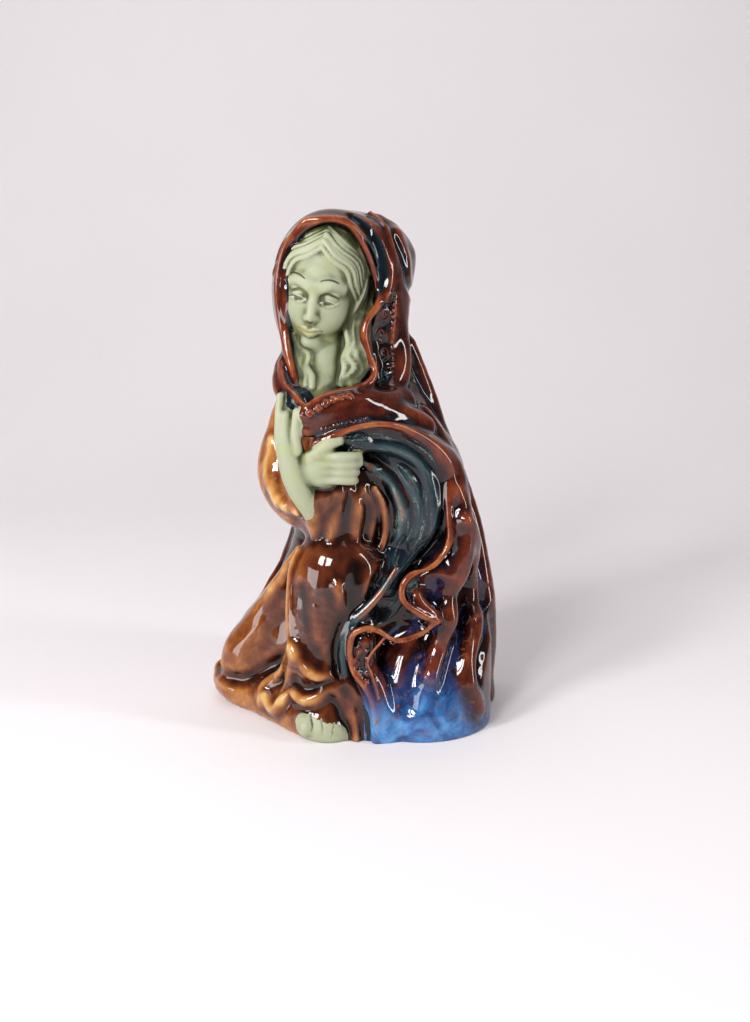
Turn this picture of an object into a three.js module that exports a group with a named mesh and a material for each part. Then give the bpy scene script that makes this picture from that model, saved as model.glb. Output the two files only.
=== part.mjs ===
// A kneeling woman in a hooded mantle: a hollow figurine cast in one piece.
// Millimetres, +Z up; the face side looks to -Y; origin in the middle under the base.
import * as THREE from "three";
import { edgeTable, triTable } from "three/addons/objects/MarchingCubes.js";

// Overall size
const HALF_WIDTH = 82;
const HALF_DEPTH = 72;
const FULL_HEIGHT = 246;

// Head: its place, its turn (about Z, X and Y, in degrees), its size beside the numbers given in its
// own frame, and the mass of hair on it
const HEAD_PLACE = [-14.2, -9.5, 206];
const HEAD_TURN = [-12, 9, 9.5];
const HEAD_SIZE = 1.07;
const HAIR_MIDDLE = [0, 1.9, 4.7];
const HAIR_RADII = [16.9, 18.3, 21.4];
const HAIR_WAVES = 7;
const HAIR_WAVE_STEP = 4.2;
const HAIR_WAVE = 1.4;
const HAIR_ROLL = 1.7;

// Hands and foot
const FINGER_COUNT = 4;
const FINGER_STEP = 3.4;
const FINGER_RADIUS = 2.4;
const TOE_COUNT = 4;
const TOE_STEP = 4.7;
const TOE_RADIUS = 3;

// Mantle: folds round the back
const BACK_FOLDS = 6;
const BACK_FOLD_START = -8;
const BACK_FOLD_STEP = 31;

// Roundness of the edge where the figure meets its flat underside
const BASE_EDGE = 1;

// Fineness of the faceted solid: cell of the grid, cells in a block, facets kept
const CELL = 1.4;
const BLOCK = 4;
const FACET_COUNT = 9700;

// A block whose middle is nearer to the surface than this many block sizes is worked out in full
const BLOCK_NEAR = 1.15;

// How much more a facet counts on the face, on the hands and on the flat underside
const FACE_WORTH = 5;
const FACE_FLOOR = 176;
const FACE_FRONT = -16;
const FACE_SIDE = 6;
const HAND_WORTH = 2.5;
const HAND_FLOOR = 105;
const HAND_FRONT = -38;
const BASE_WORTH = 50;
const BASE_DEPTH = 0.05;

// An edge's price for its length, the sharpest turn and the smallest facet that drawing it together
// may leave, how clear a quadric's best place has to be, and how far off the edge it may lie
const LENGTH_COST = 1e-4;
const LEAST_COSINE = 0.35;
const LEAST_FACET = 0.02;
const CLEAR_PLACE = 1e-4;
const MOST_SHIFT = 1.5;

// Which cloth or skin a form belongs to
const MANTLE = "mantle";
const LINING = "lining";
const ROBE = "robe";
const SKIN = "skin";

// How far outside its box a form still counts, and the distance taken beyond that
const REACH = 4;
const FAR_AWAY = 60;

// Points are moved onto the surface in a few steps, none longer than this
const SETTLE_STEPS = 3;
const SETTLE_REACH = 0.6;
const SETTLE_SPAN = 0.05;
const PRESS_STEPS = 4;
const PRESS_REACH = 1.5;
const PRESS_SPAN = 0.6;

const forms = [];

function spline(rows, steps) {
  if (rows.length === 2) return rows;
  const last = rows.length - 1;
  const mirror = (a, b) => a.map((v, i) => 2 * v - b[i]);
  const all = [mirror(rows[0], rows[1]), ...rows, mirror(rows[last], rows[last - 1])];
  const out = [];
  for (let i = 0; i < last; i++) {
    const [a, b, c, d] = all.slice(i, i + 4);
    for (let k = 0; k < steps; k++) {
      const t = k / steps;
      out.push(b.map((v, j) => 0.5 * (2 * v + (c[j] - a[j]) * t
        + (2 * a[j] - 5 * v + 4 * c[j] - d[j]) * t * t
        + (3 * v - a[j] - 3 * c[j] + d[j]) * t * t * t)));
    }
  }
  out.push(rows[last]);
  return out;
}

function addForm(zone, blend, add, low, high, distance) {
  forms.push({ zone, blend, add, low, high, distance });
}

// A round rod along a guide of rows x, y, z, radius; squash is a direction it is thinned along.
function rod(add, zone, blend, guide, squash, thin) {
  const rows = spline(guide, 4);
  const parts = [];
  const scale = squash ? 1 / Math.hypot(...squash) : 0;
  const n = squash ? squash.map((v) => v * scale) : [0, 0, 0];
  const lose = squash ? thin - 1 : 0;
  for (let i = 0; i + 1 < rows.length; i++) {
    const a = rows[i];
    const v = [0, 1, 2].map((j) => rows[i + 1][j] - a[j]);
    const along = (v[0] * n[0] + v[1] * n[1] + v[2] * n[2]) * lose;
    const w = v.map((c, j) => c + along * n[j]);
    const length = Math.max(w[0] * w[0] + w[1] * w[1] + w[2] * w[2], 1e-9);
    parts.push([a[0], a[1], a[2], a[3], w[0], w[1], w[2], rows[i + 1][3] - a[3], length]);
  }
  const gain = squash ? 1 / Math.sqrt(thin) : 1;
  const distance = (x, y, z) => {
    let best = 1e3;
    for (const p of parts) {
      let qx = x - p[0];
      let qy = y - p[1];
      let qz = z - p[2];
      if (lose) {
        const s = (qx * n[0] + qy * n[1] + qz * n[2]) * lose;
        qx += s * n[0];
        qy += s * n[1];
        qz += s * n[2];
      }
      const t = Math.min(1, Math.max(0, (qx * p[4] + qy * p[5] + qz * p[6]) / p[8]));
      qx -= t * p[4];
      qy -= t * p[5];
      qz -= t * p[6];
      const d = Math.sqrt(qx * qx + qy * qy + qz * qz) - p[3] - t * p[7];
      if (d < best) best = d;
    }
    return best * gain;
  };
  const low = [0, 1, 2].map((j) => Math.min(...rows.map((r) => r[j] - r[3])));
  const high = [0, 1, 2].map((j) => Math.max(...rows.map((r) => r[j] + r[3])));
  addForm(zone, blend, add, low, high, distance);
}

const sweep = (zone, blend, guide) => rod(true, zone, blend, guide);
const carve = (zone, blend, guide, squash, thin) => rod(false, zone, blend, guide, squash, thin);

// Rows of a 3 x 3 matrix that turns about Y, then X, then Z.
function turning([yaw, pitch, roll]) {
  const euler = new THREE.Euler(
    THREE.MathUtils.degToRad(pitch),
    THREE.MathUtils.degToRad(roll),
    THREE.MathUtils.degToRad(yaw),
    "ZXY",
  );
  const e = new THREE.Matrix4().makeRotationFromEuler(euler).elements;
  return [[e[0], e[4], e[8]], [e[1], e[5], e[9]], [e[2], e[6], e[10]]];
}

function egg(add, zone, blend, centre, radii, turn = [0, 0, 0]) {
  const m = turning(turn);
  const distance = (x, y, z) => {
    const p = [x - centre[0], y - centre[1], z - centre[2]];
    let near = 0;
    let slope = 0;
    for (let j = 0; j < 3; j++) {
      const q = (p[0] * m[0][j] + p[1] * m[1][j] + p[2] * m[2][j]) / radii[j];
      near += q * q;
      slope += (q / radii[j]) ** 2;
    }
    near = Math.sqrt(near);
    return (near * (near - 1)) / Math.max(Math.sqrt(slope), 1e-6);
  };
  const reach = Math.max(...radii);
  addForm(zone, blend, add, centre.map((c) => c - reach), centre.map((c) => c + reach), distance);
}

const blob = (zone, blend, centre, radii, turn) => egg(true, zone, blend, centre, radii, turn);
const dent = (zone, blend, centre, radii, turn) => egg(false, zone, blend, centre, radii, turn);

// Ellipses stacked in z: rows of z, centre x, centre y, half width, half depth.
function loft(zone, blend, sections) {
  const top = sections[sections.length - 1][0];
  const distance = (x, y, z) => {
    let i = 0;
    while (i < sections.length - 2 && z > sections[i + 1][0]) i++;
    const a = sections[i];
    const b = sections[i + 1];
    const t = Math.min(1, Math.max(0, (z - a[0]) / (b[0] - a[0])));
    const [cx, cy, rx, ry] = [1, 2, 3, 4].map((j) => a[j] + (b[j] - a[j]) * t);
    const u = (x - cx) / rx;
    const v = (y - cy) / ry;
    const near = Math.hypot(u, v);
    const d = (near * (near - 1)) / Math.max(Math.hypot(u / rx, v / ry), 1e-6);
    return Math.max(0.9 * d, z - top);
  };
  addForm(zone, blend, true, [-90, -90, -10], [90, 90, top], distance);
}

function smoothMin(a, b, k) {
  const h = Math.max(k - Math.abs(a - b), 0) / k;
  return Math.min(a, b) - h * h * k * 0.25;
}

// Signed distance to everything placed so far.
function field(x, y, z) {
  let d = FAR_AWAY;
  for (const f of forms) {
    const r = REACH + f.blend;
    if (x < f.low[0] - r || x > f.high[0] + r) continue;
    if (y < f.low[1] - r || y > f.high[1] + r) continue;
    if (z < f.low[2] - r || z > f.high[2] + r) continue;
    const e = f.distance(x, y, z);
    d = f.add ? smoothMin(d, e, f.blend) : -smoothMin(-d, e, f.blend);
  }
  return d;
}

// The same with the flat underside.
const figure = (x, y, z) => -smoothMin(-field(x, y, z), z, BASE_EDGE);

function slope(of, x, y, z, step) {
  const g = [
    of(x + step, y, z) - of(x - step, y, z),
    of(x, y + step, z) - of(x, y - step, z),
    of(x, y, z + step) - of(x, y, z - step),
  ];
  const length = Math.max(Math.hypot(...g), 1e-6);
  return g.map((v) => v / length);
}

// A guide moved onto the surface so far, then lifted off it.
function press(guide, lift) {
  return guide.map(([x0, y0, z0, r]) => {
    let p = [x0, y0, z0];
    for (let i = 0; i < PRESS_STEPS; i++) {
      const d = Math.min(PRESS_REACH, Math.max(-PRESS_REACH, field(...p)));
      const n = slope(field, ...p, PRESS_SPAN);
      p = p.map((v, j) => v - d * n[j]);
    }
    const n = slope(field, ...p, PRESS_SPAN);
    return [...p.map((v, j) => v + lift * n[j]), r];
  });
}

const ridge = (zone, blend, lift, guide) => sweep(zone, blend, press(guide, lift));
const groove = (zone, blend, lift, guide) => carve(zone, blend, press(guide, lift));

const between = (a, b, t) => a.map((row, i) => row.map((v, j) => v + (b[i][j] - v) * t));

// Several ridges from one guide to another, laid on the surface as it is.
function fan(zone, blend, lift, count, first, last) {
  const laid = [];
  for (let i = 0; i < count; i++) laid.push(press(between(first, last, i / (count - 1)), lift));
  laid.forEach((guide) => sweep(zone, blend, guide));
}

function body() {
  loft(MANTLE, 4, [[-10, 8, 12, 60, 45], [0, 8, 12, 60, 45], [15, 8, 11, 58, 45], [35, 10, 10, 55, 44],
    [60, 12, 10, 50, 42], [85, 13.5, 10, 44, 38], [110, 10.5, 9, 40.5, 34], [130, 6.5, 8, 36, 31],
    [150, 3, 7, 33, 28], [165, -1, 6, 29, 27], [180, -4, 6, 26, 26], [205, -4, 8, 25, 26]]);
  blob(MANTLE, 6, [-3, 8, 206], [30, 29, 34]);
  blob(MANTLE, 6, [-13, -2, 202], [25.5, 25, 38]);
  blob(MANTLE, 6, [12.5, 0, 185], [10.5, 16, 30]);
  // the hood's front, as deep as its rim
  sweep(MANTLE, 5, [[-22, -26, 159.5, 5], [-26, -22, 168.5, 5.5], [-27.5, -18, 180.5, 6],
    [-29, -14, 196.5, 6], [-29, -12.5, 210, 6], [-26, -12.5, 222.5, 6], [-20.5, -15, 230, 6],
    [-13, -17, 232, 6], [-5.5, -18, 231, 6], [-0.5, -17, 226.5, 6.5], [4, -13, 217.5, 7],
    [6.5, -9, 206.5, 7], [6.5, -8, 190.5, 7]]);
  sweep(MANTLE, 6, [[-25.5, 2, 205.5, 10], [-22, 0, 221, 10], [-13.5, -4, 228, 10],
    [-3.5, -5, 228.5, 10], [4, -4, 223, 11], [9.5, -2, 208.5, 11]]);
  // the mantle opens over her right arm
  dent(LINING, 5, [-46, -30, 84], [27, 25, 66]);
  // robe body: belly and lap
  sweep(ROBE, 4, [[10, 0, 55, 30], [4, -6, 95, 24], [-2, -8, 130, 22], [-6, -6, 150, 16]]);
  // far thigh and knee
  sweep(ROBE, 6, [[2, 2, 64, 26], [-22, 0, 50, 22], [-39, 0, 36, 17], [-51, 2, 25, 14.5]]);
  sweep(ROBE, 8, [[-54, 10, 6, 13], [-38, -8, 8, 14], [-22, -32, 8, 13], [-14, -44, 8, 11]]);
  blob(ROBE, 8, [-44, -4, 32.5], [13, 9, 28], [0, 0, 38]);
  // left upper arm under the mantle
  sweep(ROBE, 4, [[-11, -32, 103, 9], [-1, -26, 116, 12], [14.5, -14, 130, 14]]);
  // near leg: thigh to knee, shin down to the foot
  sweep(ROBE, 5, [[27, 0, 52, 26], [5, -20, 65.5, 22], [-8.5, -30, 68, 21], [-15, -36, 43.5, 16],
    [-15.5, -38, 19.5, 14]]);
  blob(ROBE, 8, [-7.5, -33, 79], [20, 16, 17], [0, 0, 4]);
  // side of the robe between near leg and mantle
  sweep(ROBE, 4, [[10.5, -28, 65.5, 12], [1, -34, 43, 10], [-2, -38, 19.5, 11], [-1, -42, -2, 10]]);
}

function mantleFront() {
  blob(MANTLE, 6, [26.5, -8, 109.5], [26, 27, 34], [0, 0, 10]);
  blob(MANTLE, 6, [16.5, -10, 141.5], [23.5, 25, 15], [0, 0, 15]);
  // lower panel standing in front
  loft(MANTLE, 4, [[-10, 31, -20, 35, 36], [0, 31, -20, 35, 36], [12, 31, -19, 34.5, 35.5],
    [26, 32, -16, 34, 35], [38, 34, -12, 32, 32], [50, 36, -6, 28, 28]]);
  sweep(MANTLE, 4, [[4, -46, 47, 6], [4.5, -47, 35, 6], [9.5, -48, 23, 7], [13, -49, 11, 7],
    [14, -50, -2, 7]]);
  blob(MANTLE, 5, [36.5, -18, 37.5], [16, 17, 18]);
  // cloth behind the long rim, down to its pointed end
  sweep(MANTLE, 5, [[-10.5, -40, 140, 4], [3, -39, 143, 5], [15.5, -36, 143, 6], [27.5, -32, 137.5, 7],
    [39.5, -26, 128, 7.6], [45, -23, 117, 7.8], [47, -24, 101, 8.2], [48, -27, 87.5, 8.5],
    [42, -31, 77.5, 8], [33.5, -37, 72, 7], [29, -41, 68.5, 6], [29.5, -43, 64, 5.5],
    [35.5, -43, 59, 4.5]]);
  sweep(MANTLE, 5, [[43.5, -20, 80, 9], [38.5, -26, 67.5, 9], [38.5, -31, 58.5, 8],
    [39.5, -36, 54.5, 6]]);
}

function liningScoop() {
  carve(LINING, 3, [[-0.5, -47, 137, 5], [8.5, -47, 137.5, 7], [21, -45, 134, 9], [31, -43, 125, 11.2],
    [33.8, -44, 109.5, 12.1], [30.5, -46, 94, 12.5], [21, -47, 80, 10], [14, -49, 66.5, 7]]);
  carve(LINING, 3, [[15, -45, 72, 7], [16, -45, 63, 10], [19.5, -46, 57, 10], [26, -46, 55, 7.5],
    [32.5, -46, 55, 4]]);
}

function hoodCut() {
  carve(LINING, 2, [[-11.5, -30, 221.5, 16], [-11, -30, 214.5, 21], [-11, -30, 202, 21.5],
    [-12.5, -30, 185, 18.5], [-9, -32, 171.5, 17.5], [-11, -36, 164, 13.5], [-19, -42, 156, 4]],
    [0.25, 1, 0], 0.62);
}

function legsDetail() {
  // ridge of cloth along the far thigh
  sweep(ROBE, 4, [[-26, -20, 83, 2.5], [-31, -17, 74, 3.2], [-42, -9.5, 55.5, 3.8], [-54, -3, 34, 3.8],
    [-61.5, -1, 22.5, 4], [-62.5, -5, 14.5, 3.6]]);
  // the hollowed plane below it
  groove(ROBE, 5, 6.6, [[-28.5, -31, 68, 6.8], [-34.5, -26, 53, 8.5], [-42.5, -20, 38, 8.7],
    [-49, -14, 27, 7.4]]);
  // hem roll of the far knee
  sweep(ROBE, 8, [[-67, 11, 12, 5], [-64.5, 2, 8, 6], [-56, -7, 6.5, 6.4], [-46.5, -14.5, 6, 6.4],
    [-37, -26, 5, 5.5], [-28, -38, 5, 5], [-22, -46, 4, 4]]);
  // crease over the hem
  groove(ROBE, 5, 1.2, [[-30.5, -40, 42, 1.3], [-37.5, -25, 30, 1.7], [-46.5, -16.5, 20.5, 1.9],
    [-55.5, -11.5, 15, 1.9], [-63.5, -4.5, 14.5, 1.7], [-69, 6, 17, 1]]);
  // the robe's fold down the near shin
  ridge(ROBE, 4, -0.2, [[-26, -35.5, 86.5, 1.2], [-29, -35.5, 77.5, 1.8], [-30, -38, 64, 2],
    [-29.5, -42, 50, 2], [-27, -46, 41, 2], [-23, -49, 35.5, 2.1], [-17, -50.5, 31.5, 2.2],
    [-9, -50.5, 29, 2.1], [0, -50, 25.5, 1.7], [5, -49.5, 22, 1]]);
  groove(ROBE, 5, 2.4, [[-23.5, -45, 71, 2], [-23, -47.5, 57.5, 2.8], [-21, -50, 46, 3],
    [-16, -52, 39.5, 2.4]]);
  ridge(ROBE, 5, -0.6, [[-7.5, -51.5, 74, 1], [-5.5, -51, 68, 1.8], [-3.5, -50, 61, 1.8],
    [-2, -49, 56.5, 1]]);
  // the plane between the shin's folds
  groove(ROBE, 6, 2, [[1, -48.5, 81.5, 2], [-4, -50, 63, 2.5], [-7.5, -50, 43.5, 2.5],
    [-6, -48.5, 30.5, 2]]);
  // pocket above the foot
  groove(ROBE, 4, 1.5, [[-28.5, -44, 26.5, 3.5], [-23, -48.5, 24.5, 3.5], [-16.5, -51.5, 24.5, 3],
    [-11, -54, 27.5, 2]]);
  // hem folds, fanning down from between the legs
  fan(ROBE, 4, -0.6, 2, [[-29.5, -47, 43.5, 2], [-39.5, -29, 27, 2.6], [-44, -22.5, 16.5, 3],
    [-44, -25.5, 9.5, 2.4]], [[-28.5, -49, 40.5, 2], [-32, -36.5, 27, 3], [-31, -33.5, 18.5, 3.4],
    [-33.5, -37, 13, 3]]);
  // wavy edge over the toes
  ridge(ROBE, 3.5, 0, [[-43.5, -28.5, 12.5, 1.6], [-40.5, -31.5, 8.5, 1.9], [-36.5, -35.5, 9, 2.1],
    [-33.5, -38.5, 14.5, 2], [-31, -41.5, 19.5, 2], [-26.5, -45.5, 19.5, 2.2], [-22, -49, 18.5, 2.3],
    [-16.5, -51, 21.5, 2.5], [-12.5, -51, 25, 2.6], [-8.5, -50.5, 24, 2.4], [-5, -50, 19, 2.3],
    [-2.5, -50.5, 12.5, 2.2], [-0.5, -51, 6.5, 2], [0.5, -52, 0, 1.8]]);
  // vertical folds of the dark cloth between robe and mantle
  fan(ROBE, 3, 0.4, 2, [[-6, -48, 32, 1.4], [-3, -49, 22.5, 1.8], [0, -51.5, 13.5, 1.8],
    [1, -54.5, 2, 1.6]], [[-5, -48, 40.5, 1.2], [-2.5, -48.5, 27.5, 1.6], [3, -49, 17.5, 1.8],
    [4.5, -50, 1, 1.6]]);
}

function head() {
  const turn = turning(HEAD_TURN);
  // A place given in the head's own frame: x to her left, -y to the face, z up.
  const place = (x, y, z, ...r) =>
    [...HEAD_PLACE.map((c, i) => c + HEAD_SIZE * (turn[i][0] * x + turn[i][1] * y + turn[i][2] * z)),
      ...r.map((v) => HEAD_SIZE * v)];
  const ball = (blend, centre, radii) =>
    blob(SKIN, blend, place(...centre), radii.map((v) => HEAD_SIZE * v), HEAD_TURN);
  const socket = (blend, centre, radii) =>
    dent(SKIN, blend, place(...centre), radii.map((v) => HEAD_SIZE * v), HEAD_TURN);
  const line = (blend, guide) => sweep(SKIN, blend, guide.map((row) => place(...row)));
  ball(2, HAIR_MIDDLE, HAIR_RADII);
  socket(2, [0, -22, 1], [14, 12, 19]);
  // skull, face, jaw and chin
  ball(3, [0, 0, 3], [15.4, 18, 20]);
  ball(3, [0, -5, -4], [14, 13, 19]);
  ball(5, [0, -7, -14.5], [9.3, 9.2, 9.6]);
  ball(3, [0, -14, -20.8], [4.2, 3.5, 3.6]);
  for (const s of [-1, 1]) {
    // cheek, eye socket, eye, upper lid, brow and side of the nose
    ball(6, [7 * s, -11, -7.5], [5.6, 4.9, 6.8]);
    socket(3, [6.3 * s, -19.6, 0], [4.4, 2.6, 2.8]);
    ball(0.8, [6.2 * s, -14, -0.5], [3.9, 3.5, 2.9]);
    ball(0.6, [6.3 * s, -13.9, 1.2], [4.2, 3.6, 2.4]);
    line(4, [[3 * s, -16.8, 4.4, 1], [7 * s, -16.3, 5.8, 1.1], [11 * s, -13, 4.4, 0.9]]);
    ball(1.8, [1.8 * s, -17.5, -9.2], [1.1, 1.6, 1.1]);
  }
  // nose and lips
  line(2.6, [[0, -16.3, 4.6, 1.2], [0, -17.5, -1.6, 1.3], [0, -18.8, -6.6, 1.5],
    [0, -19.2, -8.6, 1.5]]);
  line(1.2, [[-4.9, -15.2, -14.1, 0.5], [-2, -17.3, -14.3, 0.9], [0, -17.5, -14.7, 0.8],
    [2, -17.3, -14.3, 0.9], [4.9, -15.2, -14.1, 0.5]]);
  line(1.2, [[-3.8, -15.5, -15.1, 0.5], [0, -17, -16.5, 1.2], [3.8, -15.5, -15.1, 0.5]]);
  // neck and breast
  sweep(SKIN, 3, [place(0, 2, -12, 10), [-13, -16, 173.5, 9.5], [-13.5, -22, 163.5, 10],
    [-18, -30, 157.5, 8]]);
  sweep(SKIN, 2.5, [place(0, -1, -14, 5), place(0, 2, -21, 6)]);
  hair(place);
}

// A place on the mass of hair, in the head's own frame.
function onHair(x, y, z) {
  const q = [x, y, z].map((v, i) => (v - HAIR_MIDDLE[i]) / HAIR_RADII[i]);
  const length = Math.hypot(...q);
  return q.map((v, i) => HAIR_MIDDLE[i] + (HAIR_RADII[i] * v) / length);
}

// Waves from the parting down each side, and locks down to the collar.
function hair(place) {
  const wave = [[0.6, -13.7, 24], [6.5, -16.3, 19.5], [12.5, -12.2, 13.5], [17, -12.3, 6],
    [18.5, -7.2, -2], [19.5, -7.3, -9], [17.5, -3.2, -16]];
  for (const s of [-1, 1]) {
    for (let i = 0; i < HAIR_WAVES; i++) {
      const back = HAIR_WAVE_STEP * i;
      const radius = i ? HAIR_WAVE : HAIR_ROLL;
      sweep(SKIN, 2.5, wave.map(([x, y, z]) => place(...onHair(s * x, y + back, z), radius)));
    }
  }
  sweep(SKIN, 2, [[4.5, -3, 208, 4], [3, -8, 198, 6], [1.5, -13, 186.5, 6.6], [0.5, -19, 173.5, 7],
    [-3, -27, 165.5, 4.5]]);
  sweep(SKIN, 2, [[-28, -6, 190.5, 4.5], [-25, -12, 178.5, 5], [-22, -19, 169.5, 5],
    [-20, -28, 162, 3.5]]);
  fan(SKIN, 1.6, 0.4, 4, [[4.5, -14, 215, 0.3], [2.5, -16.5, 206, 0.8], [0.5, -18.5, 198, 1.1],
    [-2.5, -20, 189, 1.5], [-2, -22, 181, 1.8], [-4.5, -25, 175, 1.8], [-3.5, -27.5, 170, 1.6],
    [-7, -29, 164, 1]], [[9.5, -9, 215, 0.3], [8.5, -10, 206, 0.7], [7, -13, 198, 1.1],
    [5, -16, 189, 1.5], [5.5, -21.5, 182, 1.8], [3.5, -24, 176, 1.8], [5, -26.5, 170, 1.6],
    [0.5, -30, 165, 1]]);
  fan(SKIN, 1.4, 0.3, 3, [[-29, -15, 186.5, 1.2], [-27.5, -18, 179.5, 1.5], [-26.5, -22, 173.5, 1.5],
    [-24, -27, 168, 1.6], [-22, -32, 162, 1.2]], [[-23, -18, 181.5, 1.2], [-20.5, -21, 176, 1.5],
    [-21, -24, 170.5, 1.5], [-18, -29, 166, 1.5], [-18.5, -33, 161, 1.2]]);
}

function arms() {
  // right sleeve hanging at the far side
  sweep(ROBE, 5, [[-26, 4, 153.5, 10], [-32, 3, 139, 9.8], [-37, 1, 124, 9.2], [-37.5, -3, 114, 9],
    [-32, -12, 106.5, 9], [-25.5, -24, 108.5, 8.5], [-20, -35, 116.5, 6.5]]);
  sweep(ROBE, 5, [[-34.5, 8, 115.5, 8], [-30, -2, 101, 8.5], [-24, -18, 101, 8]]);
  fan(ROBE, 4, 0.1, 3, [[-39.5, -6.5, 133.5, 1.4], [-42.5, -13.5, 119.5, 1.8], [-37, -22.5, 108, 1.6]],
    [[-34.5, -7.5, 128, 1.4], [-33, -18.5, 117.5, 1.8], [-26, -32.5, 105, 1.6]]);
  // left sleeve, gathered under the hand
  blob(ROBE, 4, [-7.5, -24, 102.5], [18, 16, 20]);
  sweep(ROBE, 3, [[-16.5, -36, 102, 6], [-14.5, -40, 112, 6], [-9, -40, 117, 6]]);
  fan(ROBE, 4, -0.2, 4, [[-14, -42, 120, 1.4], [-17.5, -41.5, 111, 2.4], [-18, -38, 95.5, 1]],
    [[4, -36.5, 116, 1.6], [9.5, -34, 107, 2.6], [6.5, -32.5, 94, 1.6]]);
  // left forearm rising across the chest
  sweep(SKIN, 2, [[-16.5, -38, 101, 2.6], [-20.5, -41.5, 110, 5], [-25, -42.5, 121, 6.6],
    [-28, -42, 132, 6.6], [-30, -41.5, 142, 5.6], [-30.5, -40, 150, 4.6]]);
  sweep(SKIN, 1.6, [[-25.5, -45, 154, 1.6], [-26, -46, 145, 2.1], [-25, -46, 136.5, 2.4]]);
  sweep(SKIN, 1.2, [[-33, -39, 160, 1.7], [-33.5, -41.5, 151, 2], [-33, -43, 140, 2.3]]);
  // right hand, crossing under it
  blob(SKIN, 2.5, [-14, -45, 128.6], [9.6, 5.8, 9.2]);
  for (let k = 0; k < FINGER_COUNT; k++) {
    const z = 134.2 - FINGER_STEP * k;
    sweep(SKIN, 1.2, [[-15, -47.3, z, FINGER_RADIUS], [-6.7, -49.2, z, FINGER_RADIUS],
      [-1, -48.3, z - 0.2 * k, 2.2], [2 - 0.5 * k, -46, z - 0.4 * k, 1.8]]);
  }
  sweep(SKIN, 2, [[-19, -46, 134, 2.8], [-12.5, -48, 138.6, 2.7], [-6.5, -47, 141, 2.1]]);
}

function foot() {
  sweep(SKIN, 3, [[-20.5, -44, 8, 7], [-19.5, -49.5, 6.5, 6.6], [-12, -50.5, 3.5, 6.6],
    [-4.5, -47.5, 0.5, 5]]);
  for (let k = 0; k < TOE_COUNT; k++) {
    const x = -22.4 + TOE_STEP * k;
    const z = 8.5 - 1.9 * k;
    sweep(SKIN, 1.2, [[x, -46, z + 2.5, TOE_RADIUS], [x, -53.6 + 0.6 * k, z, TOE_RADIUS - 0.2 * k],
      [x, -54.4 + 0.8 * k, z - 2.5, TOE_RADIUS - 0.3 * k]]);
  }
}

function rims() {
  // hood rim round the face
  sweep(MANTLE, 2.5, [[-23, -38, 156.5, 1.1], [-27, -30, 167, 1.2], [-31.5, -22, 181, 1.2],
    [-34.5, -18, 196.7, 1.2], [-35, -16, 210.5, 1.2], [-31.5, -17, 224.2, 1.2], [-26, -18, 231.5, 1.3],
    [-21.5, -19, 236, 1.8], [-14, -20, 237.2, 1.6], [-5.5, -20, 236.6, 1.8], [0, -20, 232.5, 1.4],
    [5.5, -17, 223, 1.4], [9.5, -15, 212, 1.4], [10.5, -14, 201.5, 1.3], [9.5, -13, 194, 1.1]]);
  // lining strip between the two edges
  groove(LINING, 2, 0.8, [[-0.5, -10, 238, 2.5], [5.5, -12.5, 233.5, 3.2], [11, -15, 223, 3.4],
    [13.5, -16.5, 211, 3], [13, -17, 202.5, 2.2], [10.5, -17.5, 196, 1.2]]);
  // band for the relief, beside the hood's front edge
  groove(MANTLE, 2, 2, [[17.5, -15, 201.5, 3], [15, -16, 193.5, 4.5], [13, -16.5, 184.5, 5],
    [14, -16.5, 176.5, 4.5], [15.5, -17, 168.5, 4], [13.5, -18.5, 161, 2.5]]);
  // front edge of the mantle, hood to clasp
  sweep(MANTLE, 3, [[7.5, 2, 239, 0.8], [11.5, 0, 236, 1], [15, -4, 230.5, 1.2], [17, -9, 219, 1.2],
    [16, -13, 207.5, 1.2], [10.5, -18, 198.5, 1.4], [5.5, -22, 190.5, 1.5], [5, -24, 183, 1.5],
    [7.5, -25, 175.5, 1.6], [9.5, -27, 169, 1.7], [6, -31, 164, 1.7], [-1.5, -37, 162, 1.7],
    [-10.5, -42, 161, 1.6], [-17.5, -45, 158, 1.5], [-22, -46, 153, 1.5]]);
  // outer fold beside the head
  sweep(MANTLE, 6, [[18.5, 4, 228, 3.5], [20.5, 2, 216.5, 4], [18.5, 0, 203.5, 3.6], [19, -3, 189, 4.2],
    [22, -7, 175.5, 4.5], [20.5, -12, 164, 4.5], [15, -20, 158, 4.2], [6.5, -29, 156, 3.5]]);
  // back lump of the hood
  sweep(MANTLE, 5, [[11, 9, 233.5, 4], [16.5, 12, 227, 6.2], [21, 14, 218.5, 8], [21.5, 14, 211, 6]]);
  groove(MANTLE, 3, 1, [[18.5, -2.5, 227, 1.2], [22.5, -3, 218, 2.2], [24, -3, 209, 2], [26, 2, 203, 2],
    [26, 12, 202, 2]]);
}

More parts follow.
